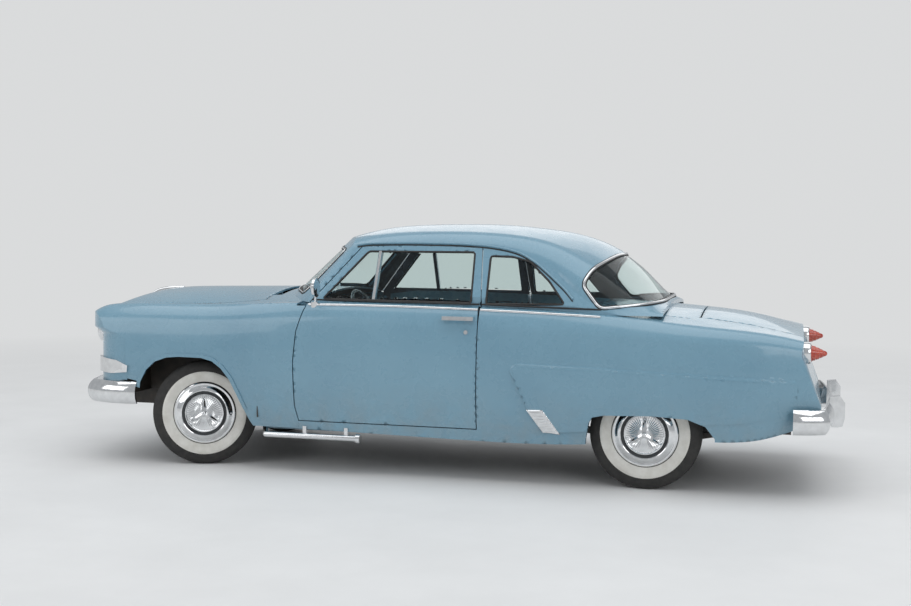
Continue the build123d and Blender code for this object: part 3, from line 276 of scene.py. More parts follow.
def curve_through(xs, ys):
    """Smooth curve through the points of a table column."""
    xs = np.asarray(xs, float)
    ys = np.asarray(ys, float)
    n = len(xs)
    h = np.diff(xs)
    slope = np.diff(ys) / h
    a = np.eye(n)
    b = np.zeros(n)
    for i in range(1, n - 1):
        a[i, i - 1] = h[i - 1]
        a[i, i] = 2 * (h[i - 1] + h[i])
        a[i, i + 1] = h[i]
        b[i] = 6 * (slope[i] - slope[i - 1])
    bend = np.linalg.solve(a, b)

    def value(x):
        x = np.asarray(x, float)
        i = np.clip(np.searchsorted(xs, x) - 1, 0, n - 2)
        t = x - xs[i]
        s = xs[i + 1] - x
        return (bend[i] * s ** 3 + bend[i + 1] * t ** 3) / (6 * h[i]) + (
            ys[i] / h[i] - bend[i] * h[i] / 6) * s + (ys[i + 1] / h[i] - bend[i + 1] * h[i] / 6) * t

    return value


def curves_of(columns, sections):
    """One smooth curve along the car for each column of a table."""
    return {name: curve_through(sections[:, 0], sections[:, i + 1]) for i, name in enumerate(columns)}


body_curves = curves_of(BODY_COLUMNS, BODY_SECTIONS)
roof_curves = curves_of(ROOF_COLUMNS, ROOF_SECTIONS)


def arc_point(start, angle, end, part):
    """Point at a share of the arc that leaves start at an angle and meets end, and its last angle."""
    dy = end[0] - start[0]
    dz = end[1] - start[1]
    half = (np.arctan2(dz, dy) - angle + math.pi) % (2 * math.pi) - math.pi
    half = np.where(np.abs(half) < 1e-6, 1e-6, half)
    reach = np.hypot(dy, dz) * np.sin(half * part) / np.sin(half)
    way = angle + half * part
    return start[0] + reach * np.cos(way), start[1] + reach * np.sin(way), angle + 2 * half


def crown_point(half, sag, crown, part):
    """Point at a share of the arc that rises from a half width to the middle, and its radius."""
    radius = (half ** 2 + sag ** 2) / (2 * sag)
    swing = np.arcsin(np.clip(half / radius, -1, 1)) * (1 - part)
    return radius * np.sin(swing), crown - radius * (1 - np.cos(swing)), radius


def body_form(x, v, c=None):
    """Y and Z at station x and girth v: 0 edge, 1 side, 2 shoulder, 3 crest, 4 valley, 5 crown."""
    c = c or {name: f(x) for name, f in body_curves.items()}
    keys = ("edge", "side", "shoulder", "crest", "valley")
    edge, side, shoulder, crest, valley = ((c[key + "_y"], c[key + "_z"]) for key in keys)
    upright = math.pi / 2 + 0 * v
    low = arc_point(side, -upright, edge, 1 - np.clip(v, 0, 1))
    mid = arc_point(side, upright, shoulder, np.clip(v - 1, 0, 1))
    top = arc_point(shoulder, mid[2], crest, np.clip(v - 2, 0, 1))
    slope = [a + (b - a) * np.clip(v - 3, 0, 1) for a, b in zip(crest, valley)]
    sag = np.maximum(c["crown_z"] - valley[1], 1.0)
    crown = crown_point(valley[0], sag, c["crown_z"], np.clip(v - 4, 0, 1))
    bands = [v < 1, v < 2, v < 3, v < 4]
    return tuple(np.select(bands, [low[i], mid[i], top[i], slope[i]], crown[i]) for i in (0, 1))


def roof_form(x, v, c=None):
    """Y and Z at station x and girth v: 0 belt, 1 drip edge, 2 corner, 3 crown."""
    c = c or {name: f(x) for name, f in roof_curves.items()}
    corner, drip = (c["corner_y"], c["corner_z"]), (c["drip_y"], c["drip_z"])
    sag = c["crown_z"] - corner[1]
    crown = crown_point(corner[0], sag, c["crown_z"], np.clip(v - 2, 0, 1))
    slope = corner[0] / (crown[2] - sag)
    bend = arc_point(corner, np.arctan2(-slope, 1.0), drip, 1 - np.clip(v - 1, 0, 1))
    wall = [a + (b - a) * np.clip(v, 0, 1) for a, b in zip((c["belt_y"], BELT_Z), drip)]
    return tuple(np.select([v < 1, v < 2], [wall[i], bend[i]], crown[i]) for i in (0, 1))


def form_normal(form, x, v, top):
    """Outward normal of a form."""
    lo = np.clip(v - 0.02, 0, top)
    hi = np.clip(v + 0.02, 0, top)
    ya, za = form(x - 1.0, v)
    yb, zb = form(x + 1.0, v)
    yc, zc = form(x, lo)
    yd, zd = form(x, hi)
    along = np.stack([np.full_like(ya, 2.0), yb - ya, zb - za], -1)
    around = np.stack([np.zeros_like(ya), yd - yc, zd - zc], -1)
    n = np.cross(around, along)
    return n / (np.linalg.norm(n, axis=-1, keepdims=True) + 1e-12)


def nearest_girth(form, curves, top, x, y, z):
    """Girth at which each place is nearest to the cross section of its station."""
    c = {name: f(x) for name, f in curves.items()}
    best = np.full(len(x), np.inf)
    girth = np.zeros(len(x))

    def nearer(v):
        sy, sz = form(x, v, c)
        gap = (sy - y) ** 2 + (sz - z) ** 2
        return np.where(gap < best, v, girth), np.minimum(best, gap)

    for v in np.linspace(0, top, int(top * 16) + 1):
        girth, best = nearer(np.full(len(x), v))
    for width in (0.03, 0.015, 0.0075, 0.0037):
        for sign in (-1, 1):
            girth, best = nearer(np.clip(girth + sign * width, 0, top))
    return girth


def form_surface(form, curves, top):
    """Measure of how far places stand out of a lofted form, and the form's normals there."""
    def measure(p):
        y = np.abs(p[:, 1])
        v = nearest_girth(form, curves, top, p[:, 0], y, p[:, 2])
        sy, sz = form(p[:, 0], v)
        n = form_normal(form, p[:, 0], v, top)
        return (y - sy) * n[:, 1] + (p[:, 2] - sz) * n[:, 2], n

    return measure


def screen_surface(p):
    """The same measure for the bowed and leaning windshield."""
    y = np.minimum(np.abs(p[:, 1]), SCREEN_RADIUS * 0.95)
    root = np.sqrt(SCREEN_RADIUS ** 2 - y ** 2)
    value = p[:, 0] - SCREEN["base_x"] + (p[:, 2] - SCREEN["base_z"]) * SCREEN["lean"] + SCREEN_RADIUS - root
    n = np.stack([np.ones_like(y), y / root, np.full_like(y, SCREEN["lean"])], -1)
    size = np.linalg.norm(n, axis=1)
    return value / size, n / size[:, None]


def end_shape(y, corner):
    """How far the plan outline of an end falls back at a half width, and its slope there."""
    length, width = corner
    k = math.sin(math.radians(45))
    a = np.array([(length, width), (length * (1 - k), width * k), (0.0, 0.0)])
    m = np.array([a[1] - a[0], a[2] - a[0]]) * 2
    centre = np.linalg.solve(m, np.sum(a[1:] ** 2, 1) - np.sum(a[0] ** 2))
    radius = np.linalg.norm(a[0] - centre)
    t = np.clip(y - (CORNER_OUTER_Y - width), 0, width - 2.0)
    root = np.sqrt(np.maximum(radius ** 2 - (t - centre[1]) ** 2, 1.0))
    return centre[0] - root, np.where(y > CORNER_OUTER_Y - width, (t - centre[1]) / root, 0.0)


def end_surface(xs, corner, sign):
    """The same measure for the front or the tail, whose plan falls back at the corners."""
    def measure(p):
        back, slope = end_shape(np.abs(p[:, 1]), corner)
        level = np.interp(p[:, 2], END_Z, xs)
        rise = (np.interp(p[:, 2] + 1.0, END_Z, xs) - np.interp(p[:, 2] - 1.0, END_Z, xs)) / 2.0
        value = sign * (p[:, 0] - level) + back
        n = np.stack([np.full_like(slope, float(sign)), slope, -sign * rise], -1)
        size = np.linalg.norm(n, axis=1)
        return value / size, n / size[:, None]

    return measure


FORMS = [
    form_surface(body_form, body_curves, 5.0), form_surface(roof_form, roof_curves, 3.0), screen_surface,
    end_surface(FRONT_END_X, FRONT_CORNER, 1), end_surface(TAIL_END_X, TAIL_CORNER, -1),
]

def layer(items, key, kind=float):
    """Values of a mesh layer, three to a row."""
    flat = np.empty(len(items) * 3, kind)
    items.foreach_get(key, flat)
    return flat.reshape(-1, 3)


def cad_corners(name):
    """Corner places and normals of a CAD node's triangles, in millimetres."""
    source = nodes[name].data
    source.calc_loop_triangles()
    loops = layer(source.loop_triangles, "loops", np.int32).ravel()
    verts = layer(source.loop_triangles, "vertices", np.int32).ravel()
    world = np.array(nodes[name].matrix_world)
    places = layer(source.vertices, "co") @ world[:3, :3].T + world[:3, 3]
    p = places[verts].reshape(-1, 3, 3) * 1000.0
    p[..., 0] -= ORIGIN_SHIFT
    normals = layer(source.corner_normals, "vector")[loops] @ world[:3, :3].T
    return p, normals.reshape(-1, 3, 3)


CUTS = {
    # number of long edges: pieces, with the corners as 0 to 2 and the edges' middles as 3 to 5
    1: [[0, 3, 2], [3, 1, 2]],
    2: [[0, 3, 2], [3, 4, 2], [3, 1, 4]],
    3: [[0, 3, 5], [3, 1, 4], [5, 4, 2], [3, 4, 5]],
}


def finer(p, q, tags, step):
    """Triangles with every edge cut down to a length, and what their corners and tags carry."""
    both = np.concatenate([p, q], 2)
    for _ in range(MOST_CUTS):
        ends = np.roll(both, -1, 1)
        long = np.linalg.norm(ends[..., :3] - both[..., :3], axis=2) > step
        if not long.any():
            break
        points = np.concatenate([both, (both + ends) / 2], 1)
        count = long.sum(1)
        parts = [(both[count == 0], tags[count == 0])]
        for cuts, pieces in CUTS.items():
            for s in range(3):
                starts = (long[:, s], ~long[:, (s + 2) % 3], np.full(len(both), s == 0))[cuts - 1]
                rows = (count == cuts) & starts
                turned = points[rows][:, [(s + k) % 3 + k // 3 * 3 for k in range(6)]]
                parts += [(turned[:, piece], tags[rows]) for piece in pieces]
        both, tags = (np.concatenate([part[i] for part in parts]) for i in (0, 1))
    return both[..., :3], both[..., 3:], tags


def merged(rows):
    """First row of each kind, and the kinds of every triangle's corners."""
    keys = np.round(rows).astype(np.int64)
    _, first, index = np.unique(keys, axis=0, return_index=True, return_inverse=True)
    return first, index.reshape(-1, 3)


def whole(index):
    """Which triangles have three separate corners."""
    return (index[:, 0] != index[:, 1]) & (index[:, 1] != index[:, 2]) & (index[:, 2] != index[:, 0])


def surface_groups(p, q):
    """Number of the smooth surface that each triangle belongs to."""
    corner = np.concatenate([p.reshape(-1, 3) * PLACES_PER_MM, q.reshape(-1, 3) * NORMALS_PER_UNIT], 1)
    index = merged(corner)[1]
    label = np.arange(index.max() + 1)
    while True:
        low = label[index].min(1)
        new = label.copy()
        for k in range(3):
            np.minimum.at(new, index[:, k], low)
        new = new[new]
        if (new == label).all():
            break
        label = new
    return np.unique(label[index[:, 0]], return_inverse=True)[1]


def soup_object(name, p, q, slots, materials):
    """Mesh from loose triangles in millimetres with a normal at each corner."""
    first, index = merged(p.reshape(-1, 3) * PLACES_PER_MM)
    good = whole(index)
    index, q, slots = index[good], q[good], slots[good]
    mesh = bpy.data.meshes.new(name)
    mesh.vertices.add(len(first))
    mesh.vertices.foreach_set("co", metres(p.reshape(-1, 3)[first]).ravel())
    mesh.loops.add(len(index) * 3)
    mesh.loops.foreach_set("vertex_index", index.ravel().astype(np.int32))
    mesh.polygons.add(len(index))
    mesh.polygons.foreach_set("loop_start", np.arange(0, len(index) * 3, 3, dtype=np.int32))
    mesh.polygons.foreach_set("material_index", slots.astype(np.int32))
    mesh.polygons.foreach_set("use_smooth", np.ones(len(index), bool))
    made = linked(name, mesh, materials)
    mesh.update(calc_edges=True)
    mesh.normals_split_custom_set(q.reshape(-1, 3).tolist())
    return made


def smooth(mesh, angle=None):
    """Smooth shading, with edges kept sharp over an angle in degrees where asked."""
    mesh.polygons.foreach_set("use_smooth", np.ones(len(mesh.polygons), bool))
    if angle:
        mesh.set_sharp_from_angle(angle=math.radians(angle))


def to_side(n, y):
    """Normals of the left half of the car, turned over for the places on the right."""
    return n * np.stack([np.ones_like(y), np.where(y < 0, -1.0, 1.0), np.ones_like(y)], -1)


def pressed(name, body, materials, forms=(0, 1, 2, 3, 4)):
    """Panel carried over from a CAD node, shaded with the true curvature of its form."""
    p, q = cad_corners(name)
    flat = np.cross(p[:, 1] - p[:, 0], p[:, 2] - p[:, 0])
    size = np.linalg.norm(flat, axis=1)
    real = size > 1e-4
    p, q, size = p[real], q[real], size[real]
    flat = flat[real] / size[:, None]
    middle = p.mean(1)
    choice = np.full(len(p), -1)
    sign = np.ones(len(p))
    score = np.full(len(p), IN_LINE)
    for i in forms:
        d, n = FORMS[i](middle)
        dot = np.sum(to_side(n, middle[:, 1]) * flat, 1)
        near = (d > (DEEPEST_AT_END if i >= 3 else DEEPEST)) & (d < HIGHEST) & (np.abs(dot) > score)
        choice[near] = i
        sign[near] = np.sign(dot[near])
        score[near] = np.abs(dot[near])
    group = surface_groups(p, q)
    weight = np.bincount(group, size)
    owner = np.full(len(p), -1)
    for i in forms:
        rows = (np.bincount(group, size * (choice == i)) > MOST * weight)[group]
        facing = np.bincount(group, size * sign * (choice == i))[group]
        owner[rows] = i
        sign = np.where(rows, np.where(facing < 0, -1.0, 1.0), sign)
    tags = np.stack([owner, sign, (sign < 0) & (owner >= 0)], -1)
    rest = owner < 0
    p1, q1, tags = finer(p[~rest], q[~rest], tags[~rest], MESH_STEP)
    first, kinds = merged(p1.reshape(-1, 3) * SHADED_PER_MM)
    places = p1.reshape(-1, 3)[first]
    normals = q1.reshape(-1, 3).copy()
    owner, sign = np.repeat(tags[:, 0], 3), np.repeat(tags[:, 1], 3)
    for i in forms:
        rows = owner == i
        if rows.any():
            n = to_side(FORMS[i](places)[1], places[:, 1])
            normals[rows] = n[kinds.ravel()[rows]] * sign[rows, None]
    normals = np.concatenate([normals.reshape(-1, 3, 3), q[rest]])
    slots = np.concatenate([tags[:, 2], np.zeros(rest.sum())])
    made = soup_object(name + "_shell", np.concatenate([p1, p[rest]]), normals, slots, materials)
    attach(made, body)
    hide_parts(name)
    return made


bodies = frame["record"]["behaviour"]["bodies"]
body_of_node = {node: body for body, listed in bodies.items() for node in listed}
PAINTED = ["front_fender_left", "front_fender_right", "quarter_left", "quarter_right", "roof", "cowl", "hood",
           "front_panel", "deck_panel", "tail_panel", "trunk_lid"]
for name in PAINTED:
    pressed(name, body_of_node[name], [paint, inner_paint])
for name in ("door_left", "door_right"):
    pressed(name, name, [paint, trim_cloth])

# Glass: bent safety glass, faintly green, in the windshield, doors, quarters and wrap-round
# rear window; the panes follow the same form as the roof around them.
glass, tree, shader = node_material("window_glass", (0.80, 0.88, 0.87), 0.02)
shader.inputs["Transmission Weight"].default_value = 1.0
shader.inputs["IOR"].default_value = 1.03
shader.inputs["Specular IOR Level"].default_value = 0.9
shader.inputs["Coat Weight"].default_value = 0.35
tree.links.new(ramp(tree, noise(tree, 6.0, 5.0, 0.6), 0.4, 0.8, 0.0, 0.05), shader.inputs["Roughness"])
for name in ("windshield", "rear_window", "quarter_glass", "door_glass_left", "door_glass_right"):
    pressed(name, body_of_node[name], [glass, glass], (1, 2))

# Parking lamps: a pod on each front corner under the headlamp, die-cast and chromium plated,
# wrapped round the fender and bolted on from behind.
pressed("parking_lamps", "car_body", [chrome, chrome], (0, 3))


# Trim strips: rolled bright and rubber mouldings that follow the sheet metal, each a small
# section swept along a line of the form.
def resampled(points, step, closed=False):
    """Points of a corner line at an even spacing."""
    p = np.array(points, float)
    if closed:
        p = np.vstack([p, p[:1]])
    run = np.concatenate([[0], np.cumsum(np.linalg.norm(np.diff(p, axis=0), axis=1))])
    count = max(int(round(run[-1] / step)), 2)
    at = np.linspace(0, run[-1], count + 1)
    if closed:
        at = at[:-1]
    return np.stack([np.interp(at, run, p[:, i]) for i in range(p.shape[1])], -1)


def rounded(points, radius, closed=True):
    """Corner line with its corners rounded off."""
    p = np.array(points, float)
    out = []
    last = len(p)
    for i in range(last):
        if not closed and i in (0, last - 1):
            out.append(p[i])
            continue
        a, b, c = p[i - 1], p[i], p[(i + 1) % last]
        la, lc = np.linalg.norm(a - b), np.linalg.norm(c - b)
        r = min(radius, la * 0.45, lc * 0.45)
        s, e = b + (a - b) / la * r, b + (c - b) / lc * r
        for t in np.linspace(0, 1, 9):
            out.append((1 - t) ** 2 * s + 2 * t * (1 - t) * b + t ** 2 * e)
    return np.array(out)


def half_round(width, height, count=8, foot=2.0):
    """Section of a moulding: flat foot and arched top, across and out."""
    arc = [(-width / 2 * math.cos(a), height * math.sin(a)) for a in np.linspace(0, math.pi, count + 1)]
    return [(-width / 2, -foot)] + arc + [(width / 2, -foot)]


def ring_faces(count, across, closed):
    """Faces between rings of points, with a cap at each end of an open row of rings."""
    index = np.arange(count * across).reshape(count, across)
    ahead = np.roll(index, -1, 0)
    quads = np.stack([index, np.roll(index, -1, 1), np.roll(ahead, -1, 1), ahead], -1)
    if closed:
        return quads.reshape(-1, 4).tolist()
    return quads[:-1].reshape(-1, 4).tolist() + [index[0][::-1].tolist(), index[-1].tolist()]


def strip(name, path, normals, section, finish, body, closed=False):
    """Moulding swept along a path."""
    path = np.asarray(path, float)
    ahead = (np.roll(path, -1, 0) - np.roll(path, 1, 0)) if closed else np.gradient(path, axis=0)
    ahead = ahead / (np.linalg.norm(ahead, axis=1, keepdims=True) + 1e-9)
    across = np.cross(ahead, np.asarray(normals, float))
    across /= np.linalg.norm(across, axis=1, keepdims=True) + 1e-9
    out = np.cross(across, ahead)
    sec = np.array(section, float)
    rings = path[:, None] + across[:, None] * sec[None, :, :1] + out[:, None] * sec[None, :, 1:2]
    faces = ring_faces(*rings.shape[:2], closed)
    return solid_piece(name, rings.reshape(-1, 3), faces, finish, body)


def solid_piece(name, points, faces, finish, body, angle=38.0):
    """Closed mesh with outward faces that rides on a body; a finish is a material and its slot, and the slot
    is not used.
    """
    material, slot = finish
    mesh = bpy.data.meshes.new(name)
    mesh.from_pydata(metres(points).tolist(), [], faces)
    work = bmesh.new()
    work.from_mesh(mesh)
    bmesh.ops.remove_doubles(work, verts=work.verts, dist=0.00002)
    bmesh.ops.recalc_face_normals(work, faces=work.faces)
    work.to_mesh(mesh)
    work.free()
    made = linked(name, mesh, material if isinstance(material, list) else [material])
    smooth(mesh, angle)
    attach(made, body)
    return made


def girth_at_z(form, top, x, z):
    """Girth at which a form's cross section reaches a height."""
    a = np.zeros(np.shape(x))
    b = np.full(np.shape(x), top, float)
    for _ in range(26):
        m = (a + b) / 2
        zz = form(x, m)[1]
        a = np.where(zz < z, m, a)
        b = np.where(zz < z, b, m)
    return (a + b) / 2


def on_form(form, top, x, v, lift=0.0):
    """Places and normals on a form, lifted off it by a distance."""
    y, z = form(x, v)
    n = form_normal(form, x, v, top)
    return np.stack([x, y, z], -1) + n * lift, n


def on_side(points, lift=0.0):
    """Places and normals on the body side for points in X and Z."""
    x, z = np.asarray(points, float).T
    return on_form(body_form, 5.0, x, girth_at_z(body_form, 3.0, x, z), lift)


def on_upper(points, lift=0.0):
    """Places and normals on the side of the upper body for points in X and Z."""
    x, z = np.asarray(points, float).T
    return on_form(roof_form, 3.0, x, girth_at_z(roof_form, 3.0, x, z), lift)


def on_screen(points, lift=0.0):
    """Places and normals on the windshield form for points in Y and Z."""
    y, z = np.asarray(points, float).T
    x = SCREEN["base_x"] - (z - SCREEN["base_z"]) * SCREEN["lean"] - SCREEN_RADIUS
    place = np.stack([x + np.sqrt(SCREEN_RADIUS ** 2 - y ** 2), y, z], -1)
    n = to_side(screen_surface(place)[1], y)
    return place + n * lift, n


FLIP = np.array([1.0, -1.0, 1.0])


def both_strips(name, path, normals, section, finish, bodies, closed=False):
    """The same moulding on both sides of the car."""
    strip(name + "_left", path, normals, section, finish, bodies[0], closed)
    strip(name + "_right", path * FLIP, normals * FLIP, section, finish, bodies[1], closed)


CAR = ("car_body", "car_body")
DOORS = ("door_left", "door_right")

# Belt moulding: a strip of rolled stainless steel, clipped along the top of each door and
# quarter, with a thin rubber line over it where the glass runs meet the panel.
BELT_GIRTH = 2.93
for name, x0, x1, bodies in (("door", 684, -430, DOORS), ("quarter", -446, -1190, CAR)):
    x = np.linspace(x0, x1, 90)
    moulding = on_form(body_form, 5.0, x, 0 * x + BELT_GIRTH, 1.0)
    both_strips("belt_moulding_" + name, *moulding, half_round(17, 8), CHROME, bodies)
    line = np.stack([x, np.interp(x, [-1190, -446, 684], [1093, 1108, 1110])], -1)
    both_strips("belt_rubber_" + name, *on_upper(line, 0.5), half_round(11, 5), SEAL, bodies)

# Drip rails: a rolled steel gutter over each door and quarter glass, welded to the roof and
# painted with it; the thin dark rubber strip below it is painted shade, where the gutter casts shade.
DRIP_LINE = [(430, 1462), (347, 1474), (84, 1481), (-220, 1480), (-431, 1471), (-560, 1452), (-655, 1427),
             (-760, 1370), (-860, 1290), (-960, 1205), (-1010, 1150)]
line = resampled(rounded(DRIP_LINE, 60, False), 14)
both_strips("drip_rail", *on_upper(line, 1.0), half_round(15, 11), PAINT, CAR)
# Painted shade: a thin dark strip just under each drip rail, standing in for the shade of the gutter.
both_strips("drip_groove", *on_upper(line - np.array([0, 12.0]), 0.4), half_round(9, 3), SEAL, CAR)

# Window seals and frames: rubber channel round each pane, a plated vent post in each door, and
# a broad bright frame, pushed into the seal, round the rear window and its pointed corners.
DOOR_WINDOW = [(612, 1118), (345, 1425), (-362, 1430), (-374, 1116)]
QUARTER_WINDOW = [(-470, 1112), (-466, 1408), (-610, 1405), (-722, 1376), (-855, 1256), (-962, 1120)]
for name, outline, bodies in (("door", DOOR_WINDOW, DOORS), ("quarter", QUARTER_WINDOW, CAR)):
    line = resampled(rounded(outline, 16), 16, True)
    section = half_round(13, 4.5, foot=5.0)
    both_strips("window_seal_" + name, *on_upper(line, -1.0), section, SEAL, bodies, True)
post = np.stack([np.full(24, 265.0), np.linspace(1120, 1426, 24)], -1)
both_strips("vent_post", *on_upper(post, 0.5), half_round(20, 6), CHROME, DOORS)
SCREEN_OPENING = [(0, 1178), (590, 1150), (668, 1140), (600, 1432), (0, 1462)]
outline = SCREEN_OPENING + [(-y, z) for y, z in SCREEN_OPENING[-2:0:-1]]
line = resampled(rounded(outline, 34), 20, True)
strip("windshield_seal", *on_screen(line, -1.0), half_round(26, 6, foot=5.0), SEAL, "car_body", True)
strip("windshield_bead", *on_screen(line, 4.0), half_round(9, 4), CHROME, "car_body", True)
REAR_WINDOW = [(-1225, 1420), (-1215, 1418), (-1110, 1335), (-1062, 1240), (-1178, 1098), (-1500, 1135),
               (-1700, 1150)]
line = resampled(rounded(REAR_WINDOW, 40, False), 10)
crown = roof_curves["crown_z"](line[:, 0])
half, half_normals = on_upper(line[line[:, 1] < crown - 0.5])
path = np.vstack([half, (half * FLIP)[::-1]])
normals = np.vstack([half_normals, (half_normals * FLIP)[::-1]])
strip("rear_window_seal", path - normals, normals, half_round(30, 5, foot=6.0), SEAL, "car_body", True)
strip("rear_window_frame", path + normals * 2.0, normals, half_round(17, 7), CHROME, "car_body", True)

# Rear parts of the front fenders: the pressed skin runs back to the door edge and down behind
# the wheel to the rocker, over the cowl side; one patch of sheet metal with a turned edge.
def both_patches(name, flat, lift, depth, finish):
    """Closed shell over a grid of places in X and Z on the body side, and its mirror image."""
    rows, columns = flat.shape[:2]
    lift = np.broadcast_to(lift, (rows, columns)).reshape(-1, 1)
    top, normals = on_side(flat.reshape(-1, 2), lift)
    points = np.vstack([top, top - normals * depth])
    index = np.arange(rows * columns).reshape(rows, columns)
    faces = []
    for grid, order in ((index, 1), (index + index.size, -1)):
        quads = np.stack([grid[:-1, :-1], grid[1:, :-1], grid[1:, 1:], grid[:-1, 1:]], -1).reshape(-1, 4)
        faces += quads[:, ::order].tolist()
    rim = np.concatenate([index[0], index[1:, -1], index[-1, -2::-1], index[-2:0:-1, 0]])
    after = np.roll(rim, -1)
    faces += np.stack([rim, after, after + index.size, rim + index.size], -1).tolist()
    solid_piece(name + "_left", points, faces, finish, "car_body")
    solid_piece(name + "_right", points * FLIP, faces, finish, "car_body")


DOOR_EDGE_Z = [284, 338, 430, 716, 911, 1050, 1072]
DOOR_EDGE_X = [742, 742, 763, 768.5, 752, 713, 706]
ARCH_EDGE_Z = [284, 320, 400, 450, 480, 1072]
ARCH_EDGE_X = [1058, 1081, 1119, 1122, 1100, 1100]
z = np.linspace(284, 1072, 72)
share = np.linspace(0, 1, 26)
rear_x = np.interp(z, DOOR_EDGE_Z, DOOR_EDGE_X)[:, None]
front_x = np.interp(z, ARCH_EDGE_Z, ARCH_EDGE_X)[:, None]
flat = np.stack([rear_x + (front_x - rear_x) * share, np.broadcast_to(z[:, None], (72, 26))], -1)
both_patches("fender_rear_skin", flat, 1.2, 5.0, PAINT)

# Character line: the step that is pressed into each quarter's steel round its raised rear
# panel; it is painted with the panel and fades towards the tail.
LINE = [(-2350, 702.3), (-1724, 721), (-1085, 744), (-690, 752), (-652, 713), (-760, 485), (-850, 350)]
PRESSED_AT = [-2500, -2330, -2150, -1750, -1340, -900]
PRESSED_BY = [1, 1.5, 3, 6.5, 10, 12]
STEP_HALF = 13
line = resampled(rounded(LINE, 26, False), 14)
ahead = np.gradient(line, axis=0)
ahead /= np.linalg.norm(ahead, axis=1, keepdims=True)
outward = np.stack([-ahead[:, 1], ahead[:, 0]], -1)
across = np.linspace(-STEP_HALF, STEP_HALF, 9)
flat = line[:, None] + outward[:, None] * across[None, :, None]
blend = (across + STEP_HALF) / (2 * STEP_HALF)
pressed_by = np.interp(line[:, 0], PRESSED_AT, PRESSED_BY)[:, None]
rise = pressed_by * (1 - blend * blend * (3 - 2 * blend))[None] + 0.8
both_patches("character_line", flat, rise, 3.0, PAINT)

# Stone shields: bright ribbed plates that guard the quarters ahead of the rear wheels, pressed
# from thin steel, plated and fixed flat on the paint.
SHIELD = np.array([(-755.0, 477.0), (-855.0, 481.0), (-964.0, 331.0), (-857.0, 340.0)])
down = np.linspace(0, 1, 41)
over = np.linspace(0, 1, 17)
edge_a = SHIELD[0] + (SHIELD[3] - SHIELD[0]) * down[:, None]
edge_b = SHIELD[1] + (SHIELD[2] - SHIELD[1]) * down[:, None]
flat = edge_a[:, None] + (edge_b - edge_a)[:, None] * over[None, :, None]
ribs = 16.0 + 1.3 * np.cos(down * 2 * math.pi * 7)[:, None] * np.sin(over * math.pi)[None] ** 0.3
ribs[[0, -1]] = ribs[:, [0, -1]] = 13.0
both_patches("stone_shield", flat, ribs, 4.0, CHROME)

# Hood ornament: a thin spear, die-cast and chromium plated, which stands on the centre line of
# the hood and is bolted through it.
x = np.linspace(1962, 2195, 40)
crown = body_curves["crown_z"](x)
nose = np.sin(np.linspace(0.0, 1, 40) * math.pi * 0.5)
path = np.stack([x, 0 * x, crown + 2 + 16 * nose], -1)
up = np.tile([0.0, 0.0, 1.0], (40, 1))
strip("hood_spear", path, up, half_round(15, 9, foot=16), CHROME, "hood")


# Bright parts: bumpers, grille and side pipes of pressed and bent steel, and die-cast door
# handles and mirror, all chromium plated; their round faces are smoothed over the CAD's cuts.
def smoothed(name, keep=None):
    """Bright node carried over with its corners merged and its round faces shaded smooth."""
    p, _ = cad_corners(name)
    if keep is not None:
        p = p[keep(p.mean(1))]
    first, faces = merged(p.reshape(-1, 3) * PLACES_PER_MM)
    mesh = bpy.data.meshes.new(name + "_finished")
    mesh.from_pydata(metres(p.reshape(-1, 3)[first]).tolist(), [], faces[whole(faces)].tolist())
    made = linked(name + "_finished", mesh, [chrome])
    smooth(mesh, 35.0)
    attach(made, body_of_node[name])
    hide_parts(name)


BRIGHT = ("front_bumper", "rear_bumper", "grille", "side_pipes", "door_hardware_right", "door_hardware_left")
for name in BRIGHT:
    smoothed(name)


def revolved(name, profile, count, place, finish, body, angle=32.0, wave=None, slots=None):
    """Closed profile of places out along an axis and radii, turned round that axis."""
    prof = np.array(profile, float)
    a = np.linspace(0, 2 * math.pi, count, endpoint=False)[:, None]
    out = np.broadcast_to(prof[None, :, 0], (count, len(prof))).copy()
    radius = np.broadcast_to(prof[None, :, 1], (count, len(prof))).copy()
    if wave is not None:
        out, radius = wave(a + 0 * out, out, radius)
    points = place(np.stack([radius * np.cos(a), out, radius * np.sin(a)], -1)).reshape(-1, 3)
    index = np.arange(count * len(prof)).reshape(count, len(prof))
    ahead = np.roll(index, -1, 0)
    faces = np.stack([index, ahead, np.roll(ahead, -1, 1), np.roll(index, -1, 1)], -1).reshape(-1, 4)
    made = solid_piece(name, points, faces.tolist(), finish, body, angle)
    if slots is not None and len(made.data.polygons) == len(faces):
        made.data.polygons.foreach_set("material_index", np.tile(slots, count).astype(np.int32))
    return made


CORNERS = ("front_left", "front_right", "rear_left", "rear_right")
HUB_X = 1467.0
HUB_Z = 342.0
HUB_Y = {"front": 736.5, "rear": 711.0}
PIVOT_Y = 690.0
STEERED = math.radians(18.0)


def at_corner(corner):
    """Place of a wheel's own measures: across, out along the spin axis, and up."""
    end, side = corner.split("_")
    side = 1.0 if side == "left" else -1.0
    x = HUB_X if end == "front" else -HUB_X
    hub = np.array([x, side * HUB_Y[end], HUB_Z])

    def place(local):
        p = np.asarray(local, float) * np.array([side, side, 1.0]) + hub
        if end == "front":
            dx, dy = p[..., 0] - x, p[..., 1] - side * PIVOT_Y
            p[..., 0] = x + dx * math.cos(STEERED) - dy * math.sin(STEERED)
            p[..., 1] = side * PIVOT_Y + dx * math.sin(STEERED) + dy * math.cos(STEERED)
        return p

    return place


